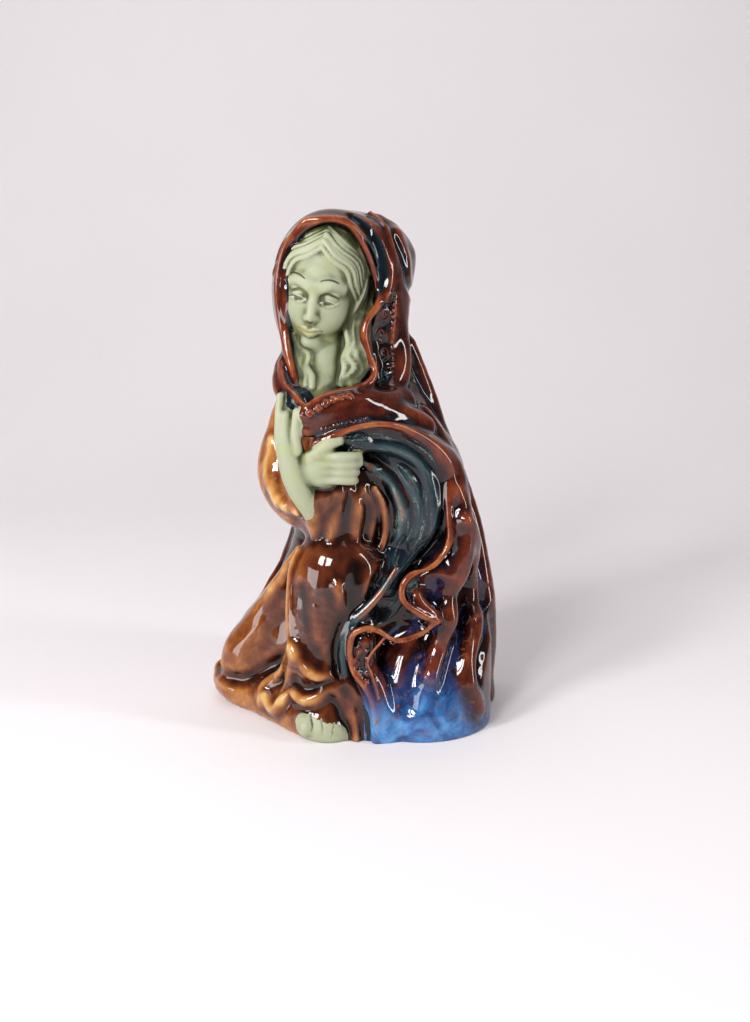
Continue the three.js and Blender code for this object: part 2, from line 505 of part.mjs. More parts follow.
function collar() {
  sweep(MANTLE, 4, [[-19.5, -44.5, 152, 4], [-11, -42, 154.5, 5.6], [0.5, -37, 156, 6.5],
    [14, -28, 155, 6], [23, -18, 154.5, 5]]);
  sweep(MANTLE, 4, [[-20, -45, 145.5, 3], [-10.5, -43, 148, 4.5], [3, -39, 150, 5], [19, -31, 150.5, 5],
    [33, -22, 144, 4]]);
  // rim over the left arm
  sweep(MANTLE, 3, [[-17.5, -46.5, 140, 1.1], [-8, -47.5, 144, 1.2], [3, -46.6, 147.5, 1.3],
    [14.5, -43.6, 148, 1.3], [25.5, -39.6, 144.5, 1.5], [36.4, -34.2, 137, 1.6],
    [42.8, -31, 128.5, 1.6], [44.6, -30.4, 121, 1.5], [43.2, -32, 114, 1.3], [43.5, -35, 104, 1.3],
    [44, -37, 93.5, 1.3], [40.5, -40, 85.5, 1.3], [34, -43.6, 80.5, 1.3], [26, -46.6, 78.5, 1.4],
    [22, -48.6, 73.5, 1.5], [22.5, -49.6, 67.5, 1.5], [27, -49.6, 63, 1.5], [33, -48.6, 59, 1.4],
    [38, -46.6, 56.5, 1.1]]);
  // cloth behind the wrist and above the hand
  blob(LINING, 2, [-24, -36, 153], [8, 6, 10]);
  blob(LINING, 2, [-2, -41, 140.5], [10, 5, 5]);
  // left collar piece
  sweep(MANTLE, 4, [[-30.5, -12, 177, 2.5], [-33, -18, 169.5, 4], [-32, -27, 161.5, 5],
    [-26.5, -37, 156, 4]]);
  sweep(MANTLE, 2.5, [[-33.5, -22, 173, 1], [-32, -31, 165, 1.1], [-25.5, -41, 159.5, 1.2],
    [-21, -46, 156, 1.2]]);
}

function rightEdge() {
  sweep(MANTLE, 2.5, [[-32, -18, 160, 1.5], [-35, 0, 146, 2], [-34, 12, 120, 2.2], [-28, 15, 96, 2.4],
    [-33, 15, 74, 2.6], [-47, 14, 48, 2.6], [-60, 12, 30, 2.6], [-65, 15, 12, 2.6],
    [-66, 17, -4, 2.6]]);
}

function liningFolds() {
  fan(LINING, 4, 0.4, 3, [[-3.5, -41, 137.5, 1.5], [7.5, -38.5, 139.5, 2.6], [20.5, -35.5, 135.5, 3.2],
    [30.5, -33, 126.5, 3.4], [35, -31.5, 114, 3.6], [34.5, -30.5, 98.5, 3.6], [28, -30.5, 86, 3.4],
    [20.5, -32.5, 77, 3.2], [15, -36.5, 69, 2.6]], [[3.5, -44, 131.5, 0.8], [10.5, -38, 126.5, 1.8],
    [16.5, -33.5, 120, 2], [20.5, -33.5, 112.5, 2.2], [22.5, -33.5, 105, 2.4], [21.5, -32.5, 96, 2.4],
    [18, -33, 87.5, 2.2], [15, -35, 79.5, 2], [12, -38, 71.5, 1.6]]);
  // the lining's long edge, down to the floor
  sweep(LINING, 3, [[19, -42, 80, 0.8], [12, -46, 69.5, 1.6], [5, -48, 62, 1.9], [-0.5, -49, 56.5, 1.9],
    [-4, -49, 49.5, 2], [-5, -49, 42, 2], [-4.5, -49, 35.5, 1.8], [-2.5, -49, 28.5, 1.8],
    [1, -50, 23, 1.8], [4.5, -51, 18, 1.8], [6.5, -52, 11, 1.8], [7, -52, -1, 1.8]]);
  ridge(ROBE, 2, 0.8, [[8.5, -34, 116.5, 1.6], [13.5, -32.5, 108, 2], [14.5, -32, 97, 2],
    [12, -33, 87.5, 1.5]]);
}

function lowerEdge() {
  sweep(MANTLE, 3, [[38, -46, 56.5, 0.9], [32.5, -48, 52, 1], [23.5, -51, 49, 1.2],
    [17.5, -52, 49.5, 1.2], [11, -53, 54, 1.4], [5, -53, 55, 1.4], [-0.5, -53, 52, 1.4],
    [-2, -53, 45, 1.4], [-1.5, -53, 38.5, 1.4], [0.5, -54, 33, 1.4], [4, -54, 28.5, 1.4],
    [6.5, -54, 24.5, 1.4], [8.5, -55, 20, 1.4], [9.5, -56, 12.5, 1.4], [10, -56, 0.5, 1.4]]);
}

function outerFolds() {
  // hollow below the rim's pointed end, and its neighbours
  groove(MANTLE, 5, 1, [[32.5, -44, 74.5, 3], [38, -41.5, 70, 5], [40, -38.5, 62, 3]]);
  groove(MANTLE, 6, 1.4, [[52, -14.5, 64, 2.5], [50.5, -23, 54, 3.8], [47.5, -33.5, 42.5, 4.4],
    [44, -43.5, 32.5, 3.6], [42, -49.5, 25, 2]]);
  groove(MANTLE, 6, 1.6, [[32.5, -41, 45, 2], [28.5, -46.5, 35, 3.4], [26, -50.5, 25, 3],
    [25, -53.5, 17, 2]]);
  groove(MANTLE, 5, 1, [[60.5, -3.5, 53, 2], [59, -21.5, 43.5, 4], [56, -33.5, 32.5, 4.5],
    [57.5, -40, 23, 3]]);
  sweep(MANTLE, 4, [[24, 3, 182, 1.5], [31, 4, 164, 2.5], [37.5, 6, 148, 3], [41, 6, 132, 3],
    [49.5, 6, 106, 4], [57, 8, 80, 4], [62, 8, 57, 4.2], [62.5, 8, 28.5, 5.5], [60.5, 8, 13.5, 5.5]]);
  groove(MANTLE, 2, 1, [[52, -31, 104.5, 1.2], [56, -20.5, 90, 2], [61.5, -7.5, 69.5, 2.2],
    [64, 2.5, 53, 1.8]]);
  groove(MANTLE, 3, 1.3, [[33, -19, 146, 1.5], [44.5, -20.5, 128, 1.9], [49.8, -21.5, 108, 2.3],
    [53.5, -18, 88, 2.2]]);
  ridge(MANTLE, 4, -1, [[34, -14, 150, 1.6], [41, -18, 130, 2.4], [48, -17, 108, 2.8],
    [54, -13, 86, 2.8], [59, -6, 66, 2.2]]);
  ridge(MANTLE, 6, 0, [[47.5, -30.5, 114.5, 2.5], [51, -32, 105.5, 3.5], [51, -33.5, 91.5, 4],
    [48.5, -35, 77, 4.2], [45, -36.5, 66, 4.2], [43, -39, 54.5, 3.8], [39, -43, 42, 3.2],
    [35.5, -48.5, 30.5, 2.4]]);
  ridge(MANTLE, 6, 0, [[52, -36, 102, 2], [55, -25, 87, 2.8], [59, -13.5, 69, 3.2],
    [58.5, -12.5, 56, 3.3], [55, -23.5, 44.5, 3.3], [52, -35.5, 34.5, 3.3], [53, -40.5, 23.5, 3],
    [58.5, -40.5, 11.5, 2.2]]);
  blob(MANTLE, 3, [63, 2, 0], [6, 9, 8]);
  // folds down the back
  for (let k = 0; k < BACK_FOLDS; k++) {
    const angle = THREE.MathUtils.degToRad(BACK_FOLD_START + BACK_FOLD_STEP * k);
    const c = Math.cos(angle);
    const s = Math.sin(angle);
    sweep(MANTLE, 5, [[2 + 25 * c, 7 + 21 * s, 178, 1.5], [5 + 31 * c, 8 + 25 * s, 150, 2],
      [12 + 43 * c, 10 + 34 * s, 100, 4], [9 + 55 * c, 8 + 43 * s, 50, 5.5],
      [4 + 60 * c, 7 + 47 * s, 6, 5.5]]);
  }
}

[body, mantleFront, liningScoop, hoodCut, legsDetail, head, arms, foot, rims, collar, rightEdge,
  liningFolds, lowerEdge, outerFolds].forEach((part) => part());

// Field values at the corners of the cells; blocks far from the surface take one value.
function sampled(low, counts) {
  const [nx, ny, nz] = counts;
  const values = new Float32Array(nx * ny * nz);
  for (let k = 0; k < nz; k += BLOCK) {
    for (let j = 0; j < ny; j += BLOCK) {
      for (let i = 0; i < nx; i += BLOCK) {
        const middle = [i, j, k].map((v, a) => low[a] + (v + (BLOCK - 1) / 2) * CELL);
        const rough = figure(...middle);
        const full = Math.abs(rough) < BLOCK * CELL * BLOCK_NEAR;
        for (let c = k; c < Math.min(k + BLOCK, nz); c++) {
          for (let b = j; b < Math.min(j + BLOCK, ny); b++) {
            for (let a = i; a < Math.min(i + BLOCK, nx); a++) {
              const at = a + nx * (b + ny * c);
              values[at] = full ? figure(low[0] + a * CELL, low[1] + b * CELL, low[2] + c * CELL) : rough;
            }
          }
        }
      }
    }
  }
  return values;
}

// Corners of a cell in the order of the tables, and the two corners of each edge
const CORNERS = [[0, 0, 0], [1, 0, 0], [1, 1, 0], [0, 1, 0], [0, 0, 1], [1, 0, 1], [1, 1, 1], [0, 1, 1]];
const EDGES = [[0, 1], [1, 2], [2, 3], [3, 0], [4, 5], [5, 6], [6, 7], [7, 4],
  [0, 4], [1, 5], [2, 6], [3, 7]];

function surface() {
  const low = [-HALF_WIDTH, -HALF_DEPTH, -CELL * 1.5];
  const sides = [2 * HALF_WIDTH, 2 * HALF_DEPTH, FULL_HEIGHT + 2 * CELL];
  const counts = sides.map((side) => Math.ceil(side / CELL) + 1);
  const [nx, ny] = counts;
  const values = sampled(low, counts);
  const corner = (i, j, k, c) =>
    i + CORNERS[c][0] + nx * (j + CORNERS[c][1] + ny * (k + CORNERS[c][2]));
  const known = new Map();
  const points = [];
  const faces = [];
  const crossing = (i, j, k, e) => {
    const [a, b] = EDGES[e];
    const ia = corner(i, j, k, a);
    const ib = corner(i, j, k, b);
    const key = Math.min(ia, ib) * 4 + CORNERS[a].findIndex((v, n) => v !== CORNERS[b][n]);
    if (!known.has(key)) {
      const t = values[ia] / (values[ia] - values[ib]);
      known.set(key, points.length);
      points.push([i, j, k].map((v, n) =>
        low[n] + CELL * (v + CORNERS[a][n] + t * (CORNERS[b][n] - CORNERS[a][n]))));
    }
    return known.get(key);
  };
  for (let k = 0; k + 1 < counts[2]; k++) {
    for (let j = 0; j + 1 < ny; j++) {
      for (let i = 0; i + 1 < nx; i++) {
        let kind = 0;
        for (let c = 0; c < 8; c++) if (values[corner(i, j, k, c)] < 0) kind |= 1 << c;
        if (!edgeTable[kind]) continue;
        for (let t = kind * 16; triTable[t] !== -1; t += 3) {
          faces.push([2, 1, 0].map((n) => crossing(i, j, k, triTable[t + n])));
        }
      }
    }
  }
  return { points, faces };
}

// The faces of the largest shell: pockets closed in by the forms are left solid.
function largestShell(points, faces) {
  const parent = points.map((_, i) => i);
  const rootOf = (i) => {
    let at = i;
    while (parent[at] !== at) {
      parent[at] = parent[parent[at]];
      at = parent[at];
    }
    return at;
  };
  faces.forEach(([a, b, c]) => {
    parent[rootOf(a)] = rootOf(b);
    parent[rootOf(b)] = rootOf(c);
  });
  const sizes = new Map();
  faces.forEach(([a]) => sizes.set(rootOf(a), (sizes.get(rootOf(a)) ?? 0) + 1));
  const largest = [...sizes].reduce((best, one) => (one[1] > best[1] ? one : best))[0];
  return faces.filter(([a]) => rootOf(a) === largest);
}

// Each point is moved onto the surface itself.
function settle(points) {
  for (const p of points) {
    for (let i = 0; i < SETTLE_STEPS; i++) {
      const d = Math.min(SETTLE_REACH, Math.max(-SETTLE_REACH, figure(...p)));
      const n = slope(figure, ...p, SETTLE_SPAN);
      p.forEach((v, j) => { p[j] = v - d * n[j]; });
    }
  }
}

// A quadric holds the sum of squared distances to planes: ten numbers of a symmetric 4 x 4 matrix.
function addPlane(quadric, at, [a, b, c], d, weight) {
  const terms = [a * a, a * b, a * c, a * d, b * b, b * c, b * d, c * c, c * d, d * d];
  terms.forEach((v, i) => { quadric[at + i] += weight * v; });
}

function quadricAt(q, [x, y, z]) {
  return q[0] * x * x + 2 * q[1] * x * y + 2 * q[2] * x * z + 2 * q[3] * x + q[4] * y * y
    + 2 * q[5] * y * z + 2 * q[6] * y + q[7] * z * z + 2 * q[8] * z + q[9];
}

// The place that a quadric holds least, or the middle of the edge where that place isn't clear.
function bestPlace(q, a, b) {
  const middle = a.map((v, i) => (v + b[i]) / 2);
  const m = new THREE.Matrix3().set(q[0], q[1], q[2], q[1], q[4], q[5], q[2], q[5], q[7]);
  const size = q[0] + q[4] + q[7];
  if (Math.abs(m.determinant()) > CLEAR_PLACE * size ** 3) {
    const p = new THREE.Vector3(-q[3], -q[6], -q[8]).applyMatrix3(m.invert()).toArray();
    const length = Math.hypot(...a.map((v, i) => v - b[i]));
    if (Math.hypot(...p.map((v, i) => v - middle[i])) < MOST_SHIFT * length) return p;
  }
  return [middle, a, b].reduce((best, p) => (quadricAt(q, p) < quadricAt(q, best) ? p : best));
}

function normalOf(a, b, c) {
  const u = [b[0] - a[0], b[1] - a[1], b[2] - a[2]];
  const v = [c[0] - a[0], c[1] - a[1], c[2] - a[2]];
  return [u[1] * v[2] - u[2] * v[1], u[2] * v[0] - u[0] * v[2], u[0] * v[1] - u[1] * v[0]];
}

// How much more a facet counts: the face and the hands are kept finer than the cloth.
function worth([x, y, z]) {
  if (y < FACE_FRONT && z > FACE_FLOOR && x < FACE_SIDE) return FACE_WORTH;
  if (y < HAND_FRONT && z > HAND_FLOOR) return HAND_WORTH;
  return 1;
}

// A heap of candidate edges, cheapest first.
function push(heap, item) {
  let i = heap.length;
  heap.push(item);
  while (i > 0) {
    const up = (i - 1) >> 1;
    if (heap[up].cost <= item.cost) break;
    heap[i] = heap[up];
    i = up;
  }
  heap[i] = item;
}

function pop(heap) {
  const top = heap[0];
  const item = heap.pop();
  if (!heap.length) return top;
  let i = 0;
  for (;;) {
    let down = 2 * i + 1;
    if (down >= heap.length) break;
    if (down + 1 < heap.length && heap[down + 1].cost < heap[down].cost) down++;
    if (heap[down].cost >= item.cost) break;
    heap[i] = heap[down];
    i = down;
  }
  heap[i] = item;
  return top;
}

// Edges are drawn together, cheapest first, until the solid has the wanted number of facets.
function thinOut(points, faces, wanted) {
  const quadrics = new Float64Array(points.length * 10);
  const around = points.map(() => new Set());
  faces.forEach((face, f) => {
    const corners = face.map((v) => points[v]);
    const n = normalOf(...corners);
    const area = Math.max(Math.hypot(...n), 1e-9);
    const unit = n.map((v) => v / area);
    const d = -(unit[0] * corners[0][0] + unit[1] * corners[0][1] + unit[2] * corners[0][2]);
    const flat = corners.every((p) => p[2] === 0) ? BASE_WORTH : 1;
    face.forEach((v) => {
      around[v].add(f);
      addPlane(quadrics, v * 10, unit, d, area * flat * worth(points[v]));
    });
  });
  const quadricOf = (v) => quadrics.subarray(v * 10, v * 10 + 10);
  const near = (v) => {
    const set = new Set();
    around[v].forEach((f) => faces[f].forEach((w) => { if (w !== v) set.add(w); }));
    return set;
  };
  const heap = [];
  const stamp = new Int32Array(points.length);
  const offer = (u, v) => {
    const q = quadricOf(u).map((c, i) => c + quadrics[v * 10 + i]);
    const p = bestPlace(q, points[u], points[v]);
    const length = Math.hypot(...points[u].map((c, i) => c - points[v][i]));
    const cost = quadricAt(q, p) + LENGTH_COST * length ** 2;
    push(heap, { cost, u, v, p, su: stamp[u], sv: stamp[v] });
  };
  points.forEach((_, u) => near(u).forEach((v) => { if (u < v) offer(u, v); }));
  const keepsItsSide = (u, v, p) => [...around[u]].every((f) => {
    if (faces[f].includes(v)) return true;
    const before = normalOf(...faces[f].map((w) => points[w]));
    const after = normalOf(...faces[f].map((w) => (w === u ? p : points[w])));
    const dot = before[0] * after[0] + before[1] * after[1] + before[2] * after[2];
    const size = Math.hypot(...after);
    return dot > LEAST_COSINE * Math.hypot(...before) * size && size > LEAST_FACET;
  });
  let left = faces.length;
  while (left > wanted && heap.length) {
    const { u, v, p, su, sv } = pop(heap);
    if (stamp[u] !== su || stamp[v] !== sv) continue;
    const shared = [...near(u)].filter((w) => near(v).has(w));
    if (shared.length !== 2 || shared.some((w) => around[w].size < 4)) continue;
    if (!keepsItsSide(u, v, p) || !keepsItsSide(v, u, p)) continue;
    points[u] = p;
    quadricOf(v).forEach((c, i) => { quadrics[u * 10 + i] += c; });
    around[v].forEach((f) => {
      if (faces[f].includes(u)) {
        faces[f].forEach((w) => around[w].delete(f));
        faces[f] = null;
        left--;
      } else {
        faces[f] = faces[f].map((w) => (w === v ? u : w));
        around[u].add(f);
      }
    });
    around[v].clear();
    stamp[v] = -1;
    stamp[u]++;
    near(u).forEach((w) => offer(Math.min(u, w), Math.max(u, w)));
  }
  return faces.filter((f) => f);
}

function solid() {
  const { points, faces } = surface();
  settle(points);
  points.forEach((p) => { if (p[2] < BASE_DEPTH) p[2] = 0; });
  const kept = thinOut(points, largestShell(points, faces), FACET_COUNT);
  kept.flat().forEach((v) => { if (points[v][2] < BASE_DEPTH) points[v][2] = 0; });
  const high = [0, 1].map((j) => Math.max(...kept.map((face) => points[face[0]][j])));
  const low = [0, 1].map((j) => Math.min(...kept.map((face) => points[face[0]][j])));
  const number = new Map();
  const place = [];
  const index = kept.flat().map((v) => {
    if (!number.has(v)) {
      number.set(v, number.size);
      const [x, y, z] = points[v];
      place.push(x - (low[0] + high[0]) / 2, y - (low[1] + high[1]) / 2, z);
    }
    return number.get(v);
  });
  const geometry = new THREE.BufferGeometry();
  geometry.setAttribute("position", new THREE.Float32BufferAttribute(place, 3));
  geometry.setIndex(index);
  geometry.computeVertexNormals();
  return geometry;
}

const glazed = new THREE.MeshStandardMaterial({ color: 0x4a1a10, roughness: 0.12, metalness: 0 });
const figureMesh = new THREE.Mesh(solid(), glazed);
figureMesh.name = "kneeling_figure";
const root = new THREE.Group();
root.name = "nativity_figurine";
root.add(figureMesh);
export default root;
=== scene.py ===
import math

import bpy
import numpy as np
from mathutils import Matrix, Vector


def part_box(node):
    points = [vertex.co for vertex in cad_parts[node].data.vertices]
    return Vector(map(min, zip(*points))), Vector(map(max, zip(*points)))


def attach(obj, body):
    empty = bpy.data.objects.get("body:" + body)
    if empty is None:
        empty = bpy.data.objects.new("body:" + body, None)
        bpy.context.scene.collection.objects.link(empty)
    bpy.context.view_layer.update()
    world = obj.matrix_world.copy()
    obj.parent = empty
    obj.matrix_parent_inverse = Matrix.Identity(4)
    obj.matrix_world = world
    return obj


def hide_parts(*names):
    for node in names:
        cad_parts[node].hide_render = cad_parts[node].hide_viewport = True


# A kneeling woman in a hooded mantle: one hollow porcelain casting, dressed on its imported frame.
# Forms are in the drawing's millimetres, +Z up, the face side to -Y; the frame's box scales them.

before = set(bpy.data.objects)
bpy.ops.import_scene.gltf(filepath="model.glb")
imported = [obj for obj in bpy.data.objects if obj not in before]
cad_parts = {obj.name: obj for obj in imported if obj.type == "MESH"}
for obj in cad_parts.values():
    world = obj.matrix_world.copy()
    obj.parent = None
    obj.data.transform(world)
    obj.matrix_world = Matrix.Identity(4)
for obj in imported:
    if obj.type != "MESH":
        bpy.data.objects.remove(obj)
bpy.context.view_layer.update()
NODE = "kneeling_figure"
PIECE = "porcelain_figure"
METRES = 0.001

# Fineness of the mesh: cell of the grid in mm, cells in a block, triangles kept
CELL = 0.62
SPLIT = 6
TRIANGLES = 196000

# Room that the grid covers, in mm
ROOM_LOW = np.array([-78.0, -66.0, -2.0])
ROOM_HIGH = np.array([78.0, 70.0, 246.0])

# Head: its place, its turn about Z, X and Y in degrees, and the mass of hair on it
HEAD_PLACE = [-14.2, -9.5, 206]
HEAD_TURN = [-12, 9, 9.5]
HEAD_SIZE = 1.07
HAIR_MIDDLE = [0, 1.9, 4.7]
HAIR_RADII = [16.9, 18.3, 21.4]
HAIR_WAVES = 7
HAIR_WAVE_STEP = 4.2
HAIR_WAVE = 1.4
HAIR_ROLL = 1.7
HAIR_STRANDS = 19
HAIR_STRAND_STEP = 1.55

# Hands and foot
FINGER_COUNT = 4
FINGER_STEP = 3.4
FINGER_RADIUS = 2.4
TOE_COUNT = 4
TOE_STEP = 4.7
TOE_RADIUS = 3

# Folds round the back
BACK_FOLDS = 6
BACK_FOLD_START = -8
BACK_FOLD_STEP = 31

# Outer and inner fold of the lining's sweep: places and radii
LINING_OUTER = [[-3.5, -41, 137.5, 1.5], [7.5, -38.5, 139.5, 2.6], [20.5, -35.5, 135.5, 3.2],
    [30.5, -33, 126.5, 3.4], [35, -31.5, 114, 3.6], [34.5, -30.5, 98.5, 3.6], [28, -30.5, 86, 3.4],
    [20.5, -32.5, 77, 3.2], [15, -36.5, 69, 2.6]]
LINING_INNER = [[3.5, -44, 131.5, 0.8], [10.5, -38, 126.5, 1.8], [16.5, -33.5, 120, 2],
    [20.5, -33.5, 112.5, 2.2], [22.5, -33.5, 105, 2.4], [21.5, -32.5, 96, 2.4],
    [18, -33, 87.5, 2.2], [15, -35, 79.5, 2], [12, -38, 71.5, 1.6]]

# Ornament: raised spirals, petals and the small curls on the collar
CURL_POINTS = 10
CURL_RADIUS = 0.6
CURL_LIFT = 0.1
PETALS = 5
COLLAR_CURLS = 6

# Camera: its tilt in degrees, its distance, sideways place and height of aim in metres, its lens in mm
CAMERA_TILT = 14
CAMERA_DISTANCE = 0.7
CAMERA_SIDE = 0.0106
CAMERA_AIM = 0.0968
CAMERA_LENS = 50.8

# A block whose middle is nearer to the surface than this many block sizes is worked out in full
BLOCK_NEAR = 1.1

# Roundness of the edge where the figure meets its flat underside
BASE_EDGE = 1

# How far outside its box a form still counts, and the distance taken beyond that
REACH = 4
FAR_AWAY = 60

# Rods stouter than this, in mm, are bent in finer steps, so that no joint shows in the glaze
STOUT = 3
FINE_STEPS = 9

# Width in mm over which one colour zone gives way to the next
ZONE_EDGE = 0.45

MANTLE, LINING, ROBE, SKIN = 0, 1, 2, 3
FORMS = []

# Blocks worked out at a time, for blocks of one point, of a few points and of many
SINGLE_BLOCKS = 100000
SMALL_BLOCKS = 40000
WHOLE_BLOCKS = 2500

# Spans in mm over which a slope is taken: for laying a guide, for settling a point, for its direction
LAY_SPAN = 0.5
SETTLE_SPAN = 0.12
DIRECTION_SPAN = 0.25

# Bulging of the surface: span in mm and gain, for fine edges and for broad swellings
FINE_BULGE = (1.1, 0.45)
BROAD_BULGE = (3.5, 1.3)

# How far ahead of the surface, in mm, it is looked at whether it lies open or sheltered; sheltered
# places get painted shade
NEAR_AHEAD = 5
FAR_AHEAD = 14

# Rooms with a low and a high corner: where the mesh keeps all its points, and the hood's temple
FACE_ROOM = [[-78, -66, 168], [12, 0, 246]]
HANDS_ROOM = [[-78, -66, 108], [5, -38, 168]]
TEMPLE_ROOM = [[-78, -14, 190], [-25, 70, 246]]

# A star of four offsets, and a cross of six, for slopes and curvatures
STAR = np.array([[1, -1, -1], [-1, -1, 1], [-1, 1, -1], [1, 1, 1]], np.float32)
CROSS = np.array([[1, 0, 0], [-1, 0, 0], [0, 1, 0], [0, -1, 0], [0, 0, 1], [0, 0, -1]], np.float32)


def spline(rows, steps=4):
    """A smooth curve through the rows, each a place and a radius."""
    p = np.asarray(rows, float)
    if len(p) == 2:
        return p
    ends = np.vstack([2 * p[0] - p[1], p, 2 * p[-1] - p[-2]])
    out = []
    for i in range(len(p) - 1):
        a, b, c, d = ends[i : i + 4]
        for t in np.arange(steps) / steps:
            cubic = (3 * b - a - 3 * c + d) * t**3
            square = (2 * a - 5 * b + 4 * c - d) * t**2
            out.append(0.5 * (2 * b + (c - a) * t + square + cubic))
    out.append(p[-1])
    return np.array(out)


class Form:
    """One piece of the surface: its zone, how softly it joins, its box and its distance."""

    def __init__(self, zone, blend, add, low, high, distance):
        self.zone, self.blend, self.add = zone, blend, add
        self.low = np.asarray(low, np.float32)
        self.high = np.asarray(high, np.float32)
        self.distance = distance
        FORMS.append(self)


def rod(add, zone, blend, guide, squash=None, thin=1.0):
    """A round rod along a guide of rows x, y, z, radius, thinned along the direction squash."""
    guide = np.asarray(guide, float)
    rows = spline(guide, FINE_STEPS if guide[:, 3].max() > STOUT else 4).astype(np.float32)
    start, end = rows[:-1], rows[1:]
    low = np.minimum(start[:, :3] - start[:, 3:], end[:, :3] - end[:, 3:])
    high = np.maximum(start[:, :3] + start[:, 3:], end[:, :3] + end[:, 3:])
    along = end[:, :3] - start[:, :3]
    if squash is None:
        n, lose = np.zeros(3, np.float32), 0.0
    else:
        n, lose = np.asarray(squash, np.float32) / np.linalg.norm(squash), thin - 1
    along = along + lose * (along @ n)[:, None] * n
    length = np.maximum((along**2).sum(1), 1e-9)
    gain = 1 / math.sqrt(thin)

    def distance(points, box_low, box_high, reach):
        best = np.full(points.shape[:-1], 1e3, np.float32)
        for i in range(len(start)):
            near = (box_high > low[i] - reach) & (box_low < high[i] + reach)
            at = np.flatnonzero(near[:, 0] & near[:, 1] & near[:, 2])
            if not len(at):
                continue
            q = points[at] - start[i, :3]
            if lose:
                q += lose * (q @ n)[..., None] * n
            t = np.clip((q @ along[i]) / length[i], 0, 1)
            q -= t[..., None] * along[i]
            d = np.sqrt(np.einsum("...k,...k", q, q)) - start[i, 3] - t * (end[i, 3] - start[i, 3])
            best[at] = np.minimum(best[at], d)
        return best * gain

    Form(zone, blend, add, low.min(0), high.max(0), distance)


def sweep(zone, blend, guide):
    rod(True, zone, blend, guide)


def carve(zone, blend, guide, squash=None, thin=1.0):
    rod(False, zone, blend, guide, squash, thin)


def turning(turn):
    """A turn about Y, then X, then Z, from the angles about Z, X and Y in degrees."""
    yaw, pitch, roll = [math.radians(a) for a in turn]
    return np.array(
        Matrix.Rotation(yaw, 3, "Z") @ Matrix.Rotation(pitch, 3, "X") @ Matrix.Rotation(roll, 3, "Y")
    )


def egg(add, zone, blend, centre, radii, turn=(0, 0, 0)):
    middle = np.asarray(centre, np.float32)
    size = np.asarray(radii, np.float32)
    m = turning(turn).astype(np.float32)

    def distance(points, box_low, box_high, reach):
        q = ((points - middle) @ m) / size
        near = np.sqrt(np.einsum("...k,...k", q, q))
        q /= size
        steep = np.sqrt(np.einsum("...k,...k", q, q))
        return near * (near - 1) / np.maximum(steep, 1e-6)

    Form(zone, blend, add, middle - size.max(), middle + size.max(), distance)


def blob(zone, blend, centre, radii, turn=(0, 0, 0)):
    egg(True, zone, blend, centre, radii, turn)


def dent(zone, blend, centre, radii, turn=(0, 0, 0)):
    egg(False, zone, blend, centre, radii, turn)


def loft(zone, blend, sections):
    """Ellipses stacked in z: rows of z, centre x, centre y, half width, half depth."""
    s = np.asarray(sections, np.float32)

    def distance(points, box_low, box_high, reach):
        z = points[..., 2]
        cx, cy, rx, ry = [np.interp(z, s[:, 0], s[:, i]).astype(np.float32) for i in range(1, 5)]
        u = (points[..., 0] - cx) / rx
        v = (points[..., 1] - cy) / ry
        near = np.sqrt(u**2 + v**2)
        steep = np.sqrt((u / rx) ** 2 + (v / ry) ** 2)
        return np.maximum(0.9 * near * (near - 1) / np.maximum(steep, 1e-6), z - s[-1, 0])

    Form(zone, blend, True, [-90, -90, -10], [90, 90, s[-1, 0]], distance)


def smooth_min(a, b, k):
    h = np.maximum(k - np.abs(a - b), 0) / k
    return np.minimum(a, b) - h * h * (k * 0.25)


def field(points, zones=False):
    """Signed distance at blocks of points, (blocks, n, 3), and how much each zone counts there."""
    points = points.astype(np.float32)
    box_low, box_high = points.min(1), points.max(1)
    d = np.full(points.shape[:2], FAR_AWAY, np.float32)
    counts = np.zeros(points.shape[:2] + (4,), np.float32) if zones else None
    for form in FORMS:
        reach = REACH + form.blend
        near = (box_high > form.low - reach) & (box_low < form.high + reach)
        at = np.flatnonzero(near[:, 0] & near[:, 1] & near[:, 2])
        if not len(at):
            continue
        e = form.distance(points[at], box_low[at], box_high[at], reach)
        old = d[at]
        if form.add:
            d[at] = smooth_min(old, e, form.blend)
            lead = old - e
        else:
            d[at] = -smooth_min(-old, e, form.blend)
            lead = -e - old
        if zones:
            share = np.clip(0.5 + lead / (2 * ZONE_EDGE), 0, 1)[..., None]
            counts[at] *= 1 - share
            counts[at, :, form.zone] += share[..., 0]
    return (d, counts) if zones else d


def waviness(points):
    """Gentle unevenness of the thick glaze and the hand-made mould, in mm."""
    x, y, z = points[..., 0], points[..., 1], points[..., 2]
    broad = np.sin(0.21 * x + 0.13 * z + 1.3) * np.sin(0.19 * y - 0.11 * z + 0.4)
    small = np.sin(0.47 * x - 0.31 * z + 2.1) * np.sin(0.53 * y + 0.37 * z)
    return 0.28 * broad + 0.1 * small


def figure(points):
    """The whole surface with its flat underside."""
    d = field(points)
    calm = np.clip((points[..., 1] + 38) / 8, 0, 1) + np.clip((points[..., 2] - 165) / 10, 0, 1)
    cloth = np.clip(1 - np.clip((points[..., 2] - 172) / 10, 0, 1) * (points[..., 0] < 8), 0, 1)
    d = d + waviness(points) * cloth * (0.3 + 0.7 * np.clip(calm, 0, 1))
    return -smooth_min(-d, points[..., 2], BASE_EDGE)


def in_parts(work, blocks, size):
    """The work done on a few blocks at a time, to keep memory small."""
    return np.concatenate([work(part) for part in np.array_split(blocks, max(1, len(blocks) // size))])


def one_by_one(work, points):
    """The work done on single points."""
    return in_parts(work, points[:, None, :], SINGLE_BLOCKS)[:, 0]


